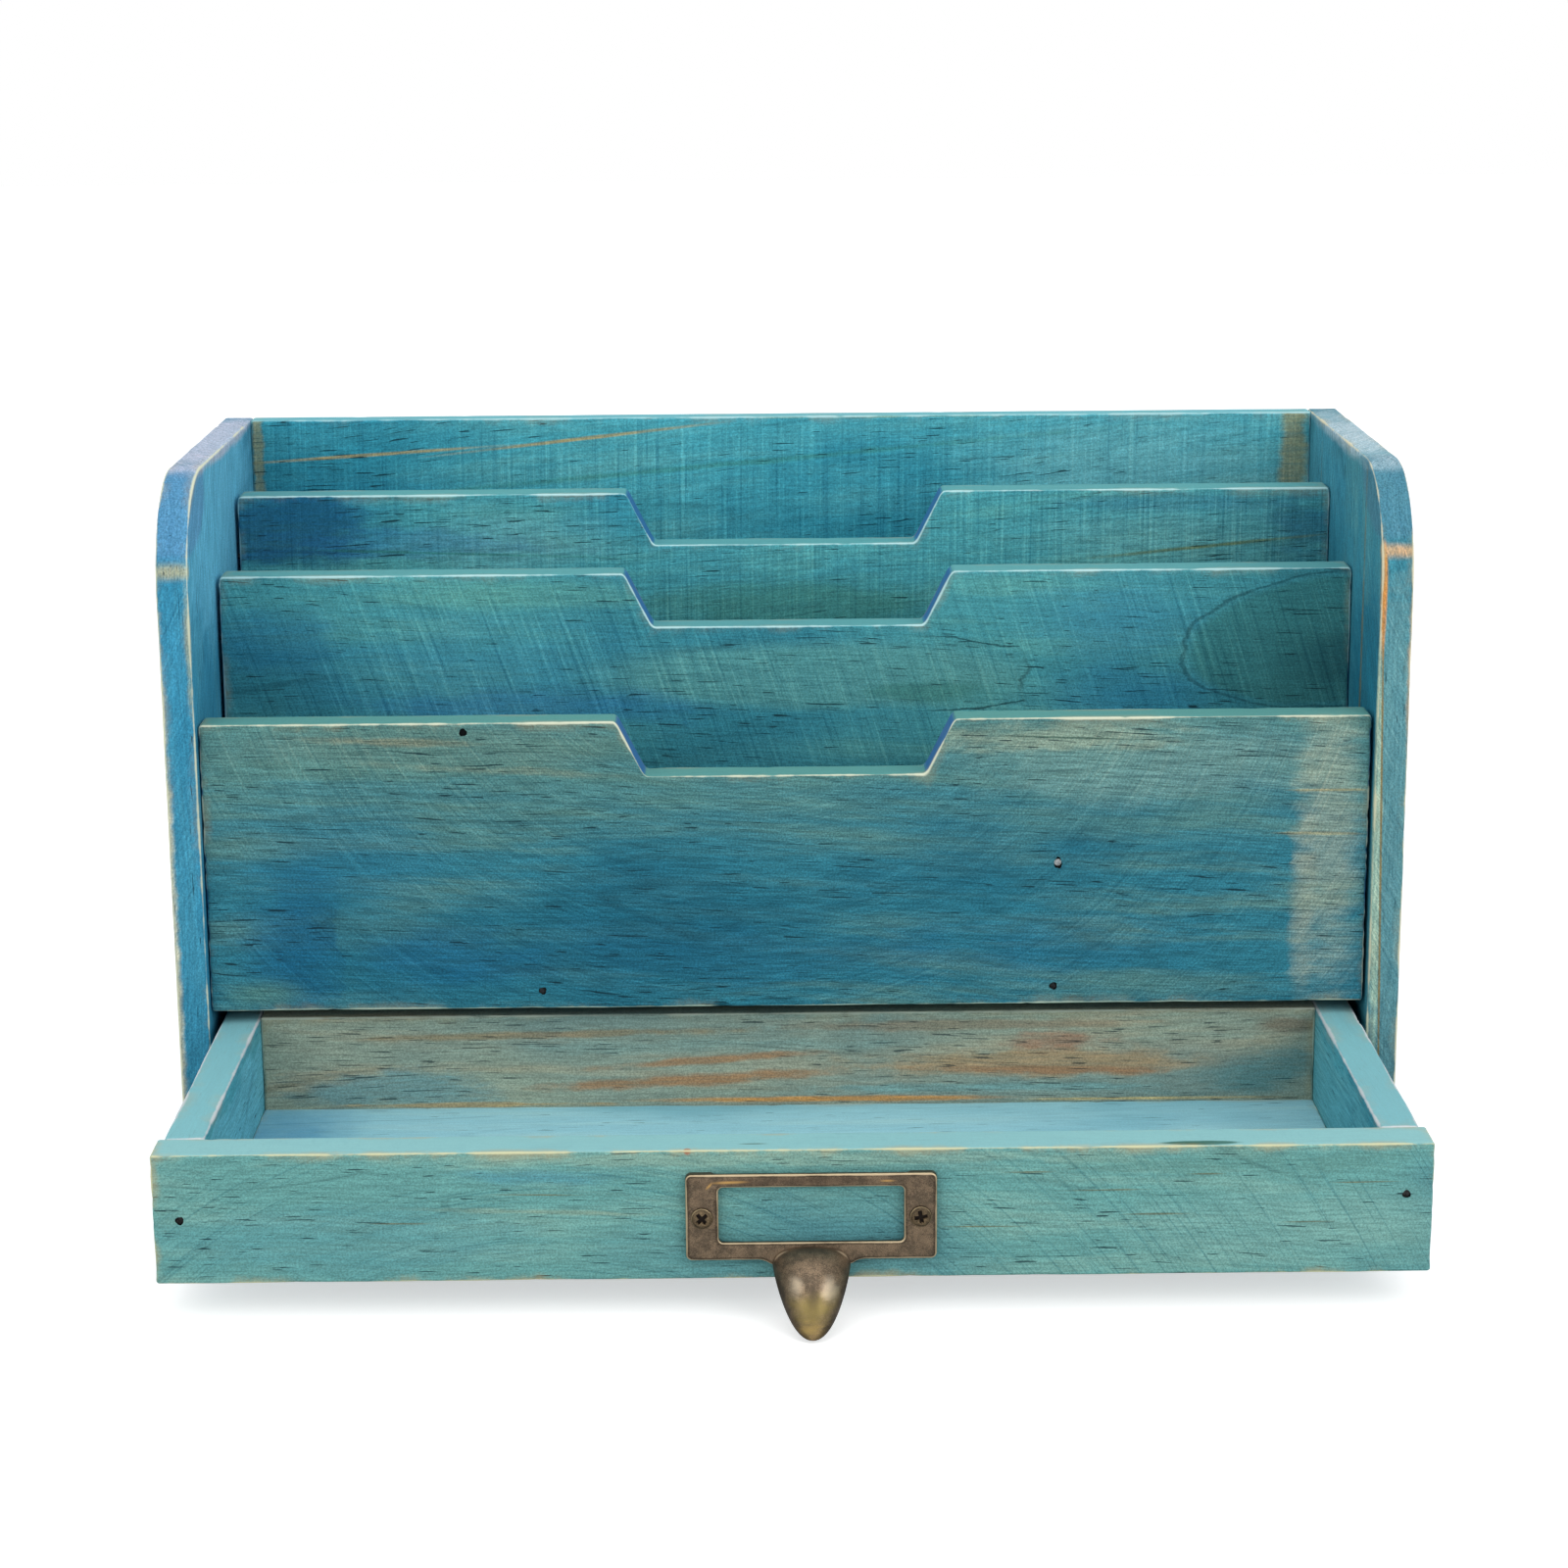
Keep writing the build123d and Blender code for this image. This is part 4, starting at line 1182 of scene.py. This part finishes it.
class SORTER_OT_notched_boards(bpy.types.Operator):
    """Make the front panel and the two dividers with their hand notches"""

    bl_idname = "sorter.notched_boards"
    bl_label = "Notched Boards"

    def execute(self, context):
        sizes = context.scene.sorter_boards
        boards = (("front_panel", -0.4, "front_wood", self.front_finish(), 1.6, 0.35, self.front_pits()),
                  ("middle_divider", 1.0, "divider_wood", self.middle_finish(), 6.0, 0.15, None),
                  ("rear_divider", 0.4, "divider_wood", self.rear_finish(), 6.0, 0.15, None))
        for number, (node, offset, slot, finish, row, ragged, pits) in enumerate(boards):
            middle = offset * MM
            corners = [middle + side * width / 2 + shift * sizes.notch_ease
                       for side in (-1, 1) for width in (sizes.notch_top, sizes.notch_floor)
                       for shift in (-1.0, -0.5, 0.0, 0.5, 1.0)]
            make_board(node, "carcass", slot, finish, 300 + number * 40, row=row * MM, ragged=ragged * MM,
                       crest=notch_crest(node, middle, sizes), extra=corners, pits=pits)
        return {"FINISHED"}

    def front_pits(self):
        """Round pits over the two low brads, a tall one over the lone brad, and an empty one at the top."""
        places = brad_places("front_panel_brads", 1) + brad_places("stray_brad", 1)
        stretch = {len(places) - 1: 1.6}
        places.append(np.array([-86.0, 122.9]) * MM)
        return {"places": places, "axis": 1, "outward": -1, "seed": 31, "stretch": stretch}

    def front_finish(self):
        """Thin olive stain near the top, bluer below, a deep patch low on the left, a bare strip right."""
        patches = (patch("#5f8078", (-95, 119), (72, 9), 0.6),
                   patch("#86846a", (-105, 120.5), (30, 1.6), 0.6, turn=-2.0, ragged=0.9, soft=0.9),
                   patch("#7c8a78", (-70, 112), (60, 1.6), 0.5, turn=-3.0, ragged=0.9, soft=0.9),
                   patch("#759a94", (95, 113), (60, 15), 0.6),
                   patch("#95a28c", (70, 120), (50, 5), 0.6, ragged=0.7),
                   patch("#266a88", (-120, 88), (38, 20), 0.3, soft=0.9),
                   patch("#145a7c", (-132, 62), (22, 30), 0.75, left_of=-120.5, soft=0.9),
                   patch("#1d607c", (-20, 60), (110, 13), 0.5, ragged=0.6, soft=0.9),
                   patch("#1a6488", (-92, 60), (34, 12), 0.55, right_of=-120.5, soft=0.9),
                   patch("#1f6688", (70, 62), (60, 14), 0.3, soft=0.9),
                   patch("#5d8a78", (-142, 51), (16, 6), 0.5, soft=0.9),
                   patch("#9aa591", (146, 92), (12, 62), 0.55, ragged=0.6, soft=0.8, right_of=134.0),
                   patch("#a9ab93", (138.5, 74), (5, 40), 0.4, ragged=0.6, soft=0.9, right_of=134.0),
                   patch("#38564d", (75, 120.0), (33, 0.4), 0.8, turn=-2.0, ragged=0.4, soft=0.7),
                   patch("#b09a5a", (146, 105.0), (14, 0.5), 0.45, ragged=0.8),
                   patch("#b09a5a", (146, 93.0), (16, 0.6), 0.35, turn=-1.0, ragged=0.8))
        return stained_pine("front_panel_stain", "across", ("#20657a", "#2f7586", "#5d8680"), 26.0, patches,
                            saw_middle=(-12.0, 172.0), saw_gap=0.62, saw=0.45, crowd=1.0, washed=0.75,
                            slant=-2.5, streak=0.28, fuzz=0.32, fade=("#57847f", 80.0, 130.0, 0.8),
                            edge_tone="#d8dcc4", lit_top_tone="#5a9995", notch_tone="#2f66a0")

    def middle_finish(self):
        """Steep saw lines, a dark olive oval at the right and a tongue-shaped stain in the middle."""
        patches = (patch("#35809c", (92, 144), (34, 20), 0.6, soft=0.9),
                   patch("#2f7fa6", (-85, 128), (70, 26), 0.35, soft=0.9),
                   patch("#2c7fa4", (95, 122), (36, 12), 0.5, soft=0.9),
                   patch("#549393", (10, 129), (75, 11.5), 0.8, ragged=0.12, soft=0.4, rim=0.7, rim_from=40.0,
                         left_of=66.5),
                   patch("#35726c", (42, 124), (22, 4), 0.6, left_of=64.0),
                   patch("#37797d", (154, 138), (45, 19), 0.9, turn=6.0, ragged=0.06, soft=0.12, rim=0.45),
                   patch("#245a63", (158, 132), (26, 13), 0.75, soft=0.9),
                   patch("#1f6f95", (-140, 140), (24, 12), 0.5),
                   patch("#2268a0", (-70, 120), (60, 8), 0.4),
                   patch("#5a9a90", (-70, 152), (50, 6), 0.5))
        return stained_pine("middle_divider_stain", "across", ("#307c8d", "#45929b", "#62a59e"), 23.0,
                            patches, saw_middle=(-1900.0, -500.0), saw_gap=0.95, saw=0.6, crowd=1.0,
                            slant=-1.5, edge_tone="#b6dddf", lit_top_tone="#5d9fa2", notch_tone="#2f66a0")

    def rear_finish(self):
        """Upright saw lines, deep blue at the upper left, olive low in the middle, a brown line right."""
        patches = (patch("#125078", (-140, 166), (30, 18), 0.8, ragged=0.6),
                   patch("#7cb6b6", (-78, 160), (40, 14), 0.4, soft=0.9),
                   patch("#2b6fa6", (-110, 160), (50, 6), 0.35, ragged=0.8),
                   patch("#3f8078", (5, 140), (52, 12), 0.75, ragged=0.3),
                   patch("#2f7a6e", (-95, 157), (60, 0.6), 0.7, turn=-2.0, ragged=0.9, soft=0.9),
                   patch("#2e6f8c", (110, 170), (44, 3.6), 0.45),
                   patch("#74b0b0", (112, 160), (60, 14), 0.4, soft=0.9),
                   patch("#1d5b7a", (150, 163), (17, 14), 0.65, ragged=0.8, soft=0.9),
                   patch("#5f7348", (121, 157.2), (44, 0.8), 0.85, turn=5.4, ragged=0.3, soft=0.8))
        return stained_pine("rear_divider_stain", "across", ("#31889e", "#479ba6", "#63a9a2"), 21.0, patches,
                            saw_middle=(3000.0, 150.0), saw_gap=0.8, saw=0.66, crowd=0.8, edge_tone="#b6dddf",
                            lit_top_tone="#5d9fa2", notch_tone="#2f66a0", streak=0.24, slant=2.0)


class SORTER_OT_drawer(bpy.types.Operator):
    """Make the five boards of the drawer"""

    bl_idname = "sorter.drawer"
    bl_label = "Drawer"

    def execute(self, context):
        make_board("drawer_front", "drawer", "drawer_front_wood", self.front_finish(), 500, row=1.6 * MM,
                   ragged=0.25 * MM, pits=brad_pits("drawer_front", 1, -1, 51))
        inside = self.side_finish()
        for number, (node, outward) in enumerate((("drawer_left_side", -1), ("drawer_right_side", 1))):
            make_board(node, "drawer", "drawer_box_wood", inside, 540 + number * 40, axes=(1, 2, 0),
                       pits=brad_pits(node, 0, outward, 61 + number))
        make_board("drawer_back", "drawer", "drawer_box_wood", self.back_finish(), 620)
        make_board("drawer_bottom", "drawer", "drawer_box_wood", self.bottom_finish(), 660)
        return {"FINISHED"}

    def front_finish(self):
        """Sea green, wavy grain, tan along the top arris and a green smear on the top edge."""
        brown_lines = ((75, 31.3, 14, 0.30, 0.4), (57, 36.1, 9, 0.34, 0.0), (46, 22.2, 14, 0.28, -0.3),
                       (139, 32.7, 12, 0.28, 0.6), (101, 35.2, 6, 0.32, 0.0), (88, 25.0, 11, 0.36, 0.0),
                       (125, 22.6, 9, 0.26, 0.5), (-62, 31.5, 14, 0.26, -1.0), (-96, 24.4, 12, 0.26, -0.6))
        patches = (patch("#8aa898", (0, 40), (120, 2.2), 0.5, ragged=0.9),
                   patch("#5a8a84", (112, 38), (46, 4.0), 0.55, ragged=0.9),
                   patch("#79a59f", (120, 22), (60, 12), 0.4),
                   patch("#8d9c84", (-60, 27), (50, 1.0), 0.5, turn=-2.0, ragged=0.9, soft=0.9),
                   patch("#3f8aa6", (-60, 36), (26, 3), 0.4, ragged=0.9, soft=0.9),
                   patch("#4f8e96", (-110, 20), (60, 12), 0.5))
        patches += tuple(patch("#686444", (x, z), (half, thick), 0.85, turn=turn, ragged=0.35, soft=0.8)
                         for x, z, half, thick, turn in brown_lines)
        smears = (patch("#29594a", (98.5, -163.2, 42.4), (10.5, 1.6, 2.4), 0.95, ragged=0.3, soft=0.35),
                  patch("#46533c", (-9.5, -160.8, 42.4), (4.8, 0.5, 1.6), 0.85, ragged=0.3, soft=0.5),
                  patch("#a4573f", (-25.6, -164.6, 42.2), (1.1, 1.2, 1.2), 0.8, ragged=0.3, soft=0.5))
        return stained_pine("drawer_front_stain", "across", ("#4f868c", "#629996", "#84ab9f"), 41.0, patches,
                            saw_middle=(-60.0, -90.0), saw_gap=0.62, saw=0.7, pale_saw=0.22, crowd=0.6,
                            line=0.35, rings=12.0, slant=-1.0, wear_and_highlight_width=0.38, tan=0.5, smears=smears,
                            edge_tone="#cdcda6", lit_top_tone="#8fc2c6")

    def side_finish(self):
        """Light aqua, with a thick pale line along the inner arris that is partly a painted highlight, and
        painted light on the inner faces of both sides.
        """
        # Both patches are painted light on the inner faces of the drawer's sides.
        patches = (patch("#78c2d6", (-143.0, -110, 26), (3.0, 90, 15.5), 0.5, soft=0.2),
                   patch("#6fb4bf", (143.0, -110, 26), (3.0, 90, 15.5), 0.4, soft=0.2))
        return stained_pine("drawer_side_stain", "deep", ("#3b8da0", "#4f9fae", "#76b4b6"), 43.0, patches,
                            saw=0.3, wear_and_highlight_width=0.6, edge_tone="#cccfd2", lit_top_tone="#84bac0")

    def back_finish(self):
        """Grey blue with tan and rust where the stain didn't take."""
        patches = (patch("#8f7d5f", (-62, 37.0), (64, 1.5), 0.75, turn=1.0, ragged=0.7),
                   patch("#8a7862", (50, 38.6), (66, 2.0), 0.65, ragged=0.7),
                   patch("#5c939c", (-112, 21.5), (36, 6.5), 0.6, ragged=0.9),
                   patch("#7d9d97", (-20, 33), (80, 2.6), 0.5, ragged=0.9),
                   patch("#ab8c66", (72, 27.5), (62, 5.2), 0.8, ragged=0.6),
                   patch("#9c6a50", (75, 34), (22, 3.6), 0.65, ragged=0.9),
                   patch("#9c6c4c", (72, 25.5), (40, 1.6), 0.6, turn=-1.0, ragged=0.9),
                   patch("#a27650", (-26, 23.6), (52, 2.4), 0.85, turn=3.0, ragged=0.7),
                   patch("#a27650", (-20, 29.4), (36, 1.7), 0.8, turn=4.0, ragged=0.7),
                   patch("#72a3a4", (60, 20.6), (60, 1.8), 0.6, ragged=0.7),
                   patch("#c68d4c", (12, 17.7), (64, 1.1), 0.9, ragged=0.4, soft=0.6),
                   patch("#c9b47c", (100, 17.0), (46, 0.55), 0.8, ragged=0.4),
                   patch("#b79a68", (-84, 17.0), (44, 0.7), 0.7, ragged=0.9),
                   patch("#4a7f84", (128, 24), (31, 8.5), 0.75, turn=8.0, ragged=0.9, soft=0.9),
                   patch("#7a6a58", (137, 38), (12, 3.0), 0.75, ragged=0.5))
        return stained_pine("drawer_back_stain", "across", ("#7a9089", "#94a08f", "#b5a283"), 45.0, patches,
                            saw=0.12, crowd=1.2, washed=0.8, dash=0.7, edge_tone="#b9c4b4")

    def bottom_finish(self):
        """Smooth light blue, with painted shade along its left side."""
        # 3f8ab4 is painted shade along the bottom's left side.
        patches = (patch("#3f8ab4", (-133, -110, 16), (26, 80, 4), 0.75, soft=0.9),)
        return stained_pine("drawer_bottom_stain", "level", ("#7fb9c8", "#96ccd8", "#abd6d8"), 47.0, patches,
                            saw=0.08, crowd=0.2, streak=0.08, fuzz=0.08)


class SORTER_OT_label_pull(bpy.types.Operator):
    """Make the bronze label pull with its finger tongue, and its two screws"""

    bl_idname = "sorter.label_pull"
    bl_label = "Label Pull"

    def execute(self, context):
        sizes = context.scene.sorter_pull
        low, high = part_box("label_pull")
        wood = high[1]
        middle = np.array([(low[0] + high[0]) / 2, high[2] - sizes.height / 2])
        mesh = joined("label_pull_metal", [frame_mesh(sizes, middle, wood), tongue_mesh(sizes, middle, wood)])
        piece("label_pull_metal", mesh, "drawer", "label_pull", self.pull_finish())
        heads = []
        for side, turn in ((-1, 42.0), (1, 10.0)):
            place = middle + np.array([side * sizes.screw_spacing / 2, 0.0])
            heads.append(screw_head_mesh(sizes, place, wood - sizes.depth, math.radians(turn)))
        mesh = joined("pull_screw_heads", heads)
        finish = bronze("screw_finish", "#5b4e3c", "#7c6a50", 0.30, edge="#d8c296", seed=31.0)
        piece("pull_screw_heads", mesh, "drawer", "pull_screws", finish)
        return {"FINISHED"}

    def pull_finish(self):
        """Brown patina, gold where cards rub the top rail, brass and olive at the tongue's tip, painted
        highlights on the tongue's cheeks and along its root, and painted dark reflections at its top and down
        its middle.
        """
        rubs_and_painted_reflections = (patch("#483a30", (4.3, 35.4), (34, 1.7), 0.4, ragged=0.9, soft=0.9),
                patch("#c99f60", (-15.6, 35.0), (5.6, 0.55), 0.9, turn=1.5, ragged=0.35, soft=0.9),
                patch("#c99f60", (-20.4, 34.1), (1.5, 0.45), 0.8, turn=48.0, ragged=0.35, soft=0.9),
                patch("#c99f60", (22.7, 35.1), (2.8, 0.45), 0.8, ragged=0.35, soft=0.9),
                # Painted dark reflection at the top of the tongue.
                patch("#4f463b", (4.3, -168.6, 18.0), (8.0, 2.2, 3.4), 0.6, ragged=0.6, soft=0.9),
                # Two thin painted highlights along the tongue's root.
                patch("#e0d0b4", (-3.2, -168.1, 16.4), (2.6, 0.6, 1.6), 0.6, turn=40.0, ragged=0.3,
                      soft=0.7),
                patch("#e0d0b4", (11.8, -168.1, 16.4), (2.6, 0.6, 1.6), 0.6, turn=-40.0, ragged=0.3,
                      soft=0.7),
                patch("#8a7a48", (4.3, -181.0, 6.5), (8.0, 9.0, 6.5), 0.8, ragged=0.7, soft=0.9),
                patch("#bfa25c", (4.0, -182.5, 3.0), (5.0, 4.0, 3.4), 0.6, ragged=1.0, soft=0.9),
                # Two painted highlights on the tongue's cheeks.
                patch("#ddcdb2", (0.3, -178.5, 13.0), (2.6, 5.0, 3.6), 0.42, ragged=0.9, soft=1.0),
                patch("#ddcdb2", (8.4, -178.5, 12.2), (2.6, 5.0, 3.8), 0.42, ragged=0.9, soft=1.0),
                # Painted dark reflection down the middle of the tongue.
                patch("#4c4337", (4.4, -180.0, 11.8), (1.8, 5.0, 4.4), 0.55, ragged=0.9, soft=1.0))
        return bronze("antique_bronze_finish", "#5d5143", "#7d6b57", 0.33, rubs_and_painted_reflections, edge="#e3cda8", seed=5.0)


class SORTER_OT_brads(bpy.types.Operator):
    """Finish the brads, which keep their own mesh: near black as painted shade in their pits, and the stray
    brad as a bright copy of the same steel, standing in for its glint
    """

    bl_idname = "sorter.brads"
    bl_label = "Brads"

    def execute(self, context):
        # Lit and shaded copies of one steel: near black for the brads as painted shade in their pits, and
        # bright for the stray brad, standing in for its glint.
        dress([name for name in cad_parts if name.endswith("_brads")],
              bronze("brad_shaded_copy_finish", "#1b1c1d", "#47484a", 0.45, seed=77.0))
        dress(["stray_brad"], bronze("brad_lit_copy_finish", "#8c8e90", "#e6e6e6", 0.3, seed=78.0))
        return {"FINISHED"}


class SORTER_OT_stage(bpy.types.Operator):
    """Set the camera, the lamps, the white surroundings and the floor"""

    bl_idname = "sorter.stage"
    bl_label = "Stage"

    def execute(self, context):
        scene = context.scene
        stage = scene.sorter_stage
        scene.view_settings.view_transform = "Standard"
        self.camera(scene, stage)
        self.lamp("right_lamp", (1.15, -1.15, 0.95), 1.1, stage.right_power)
        self.lamp("left_lamp", (-1.1, -1.25, 0.85), 1.1, stage.left_power)
        self.lamp("top_lamp", (-0.1, -0.2, 1.5), 1.2, stage.top_power)
        self.surroundings(scene, stage)
        self.floor()
        return {"FINISHED"}

    def camera(self, scene, stage):
        """A camera that looks along its yaw and pitch, and is then rolled about that line."""
        lens = bpy.data.cameras.new("camera")
        lens.lens = stage.lens
        lens.sensor_width = 36.0
        lens.clip_start = 0.01
        level = Vector((math.sin(stage.yaw), math.cos(stage.yaw), 0.0))
        ahead = level * math.cos(stage.pitch) - Vector((0.0, 0.0, math.sin(stage.pitch)))
        right = Vector((math.cos(stage.yaw), -math.sin(stage.yaw), 0.0))
        up = right.cross(ahead)
        rolled_right = right * math.cos(stage.roll) + up * math.sin(stage.roll)
        rolled_up = up * math.cos(stage.roll) - right * math.sin(stage.roll)
        turn = Matrix((rolled_right, rolled_up, -ahead)).transposed().to_4x4()
        scene.camera = placed("camera", lens)
        scene.camera.matrix_world = Matrix.Translation(Vector(stage.camera_place)) @ turn

    def lamp(self, name, place, size, power):
        """A square lamp at place that faces the sorter."""
        sorter = Vector((0.0, -0.06, 0.08))
        data = bpy.data.lights.new(name, "AREA")
        data.shape = "SQUARE"
        data.size = size
        data.energy = power
        made = placed(name, data)
        made.location = place
        made.rotation_euler = (sorter - Vector(place)).to_track_quat("-Z", "Y").to_euler()

    def surroundings(self, scene, stage):
        """White for the camera and for reflections, and an even light for everything else."""
        world = bpy.data.worlds.new("surroundings")
        world.use_nodes = True
        scene.world = world
        tree = world.node_tree
        path = add(tree, "ShaderNodeLightPath").outputs
        seen = calc(tree, "MAXIMUM", path["Is Camera Ray"], path["Is Transmission Ray"])
        seen = calc(tree, "MAXIMUM", seen, path["Is Glossy Ray"])
        strength = step_up(tree, seen, 0.0, 1.0, stage.ambient, 1.0)
        connect(tree, tree.nodes["Background"], {"Color": (1.0, 1.0, 1.0, 1.0), "Strength": strength})

    def floor(self):
        """A wide pale floor that shows as white and keeps a soft shadow."""
        half = 4.0
        level = -0.2 * MM
        mesh = bpy.data.meshes.new("floor")
        mesh.from_pydata([(half * b, half * c, level) for b, c in CORNERS], [], [(3, 0, 1, 2)])
        made = placed("floor", mesh)
        material, tree, shader = new_material("pale_floor")
        seen = add(tree, "ShaderNodeLightPath").outputs["Is Camera Ray"]
        connect(tree, shader, {"Base Color": (0.72, 0.72, 0.72, 1.0), "Roughness": 0.9,
                               "Emission Color": (1.0, 1.0, 1.0, 1.0),
                               "Emission Strength": times(tree, seen, 0.55)})
        mesh.materials.append(material)


class SORTER_PT_panel(bpy.types.Panel):
    """Lists the pieces of the sorter"""

    bl_idname = "SORTER_PT_panel"
    bl_label = "Envelope Sorter"
    bl_space_type = "VIEW_3D"
    bl_region_type = "UI"
    bl_category = "Sorter"

    def draw(self, context):
        column = self.layout.column()
        for operator in OPERATORS:
            column.operator(operator.bl_idname)
        for settings in ("sorter_boards", "sorter_pull", "sorter_stain", "sorter_stage"):
            holder = getattr(context.scene, settings)
            for key in holder.__annotations__:
                column.prop(holder, key)


SETTINGS = (SorterBoards, SorterPull, SorterStainAndShade, SorterStage)
OPERATORS = (SORTER_OT_side_boards, SORTER_OT_level_boards, SORTER_OT_notched_boards, SORTER_OT_drawer,
             SORTER_OT_label_pull, SORTER_OT_brads, SORTER_OT_stage)


def register():
    for item in SETTINGS + OPERATORS + (SORTER_PT_panel,):
        bpy.utils.register_class(item)
    bpy.types.Scene.sorter_boards = PointerProperty(type=SorterBoards)
    bpy.types.Scene.sorter_pull = PointerProperty(type=SorterPull)
    bpy.types.Scene.sorter_stain = PointerProperty(type=SorterStainAndShade)
    bpy.types.Scene.sorter_stage = PointerProperty(type=SorterStage)


def unregister():
    del bpy.types.Scene.sorter_stage
    del bpy.types.Scene.sorter_stain
    del bpy.types.Scene.sorter_pull
    del bpy.types.Scene.sorter_boards
    for item in reversed(SETTINGS + OPERATORS + (SORTER_PT_panel,)):
        bpy.utils.unregister_class(item)


def main():
    """Registers the add-on, and makes every piece and the stage."""
    register()
    for operator in OPERATORS:
        family, _, name = operator.bl_idname.partition(".")
        result = getattr(getattr(bpy.ops, family), name)()
        if "FINISHED" not in result:
            raise RuntimeError(operator.bl_label + " did not finish")


if __name__ == "__main__":
    main()
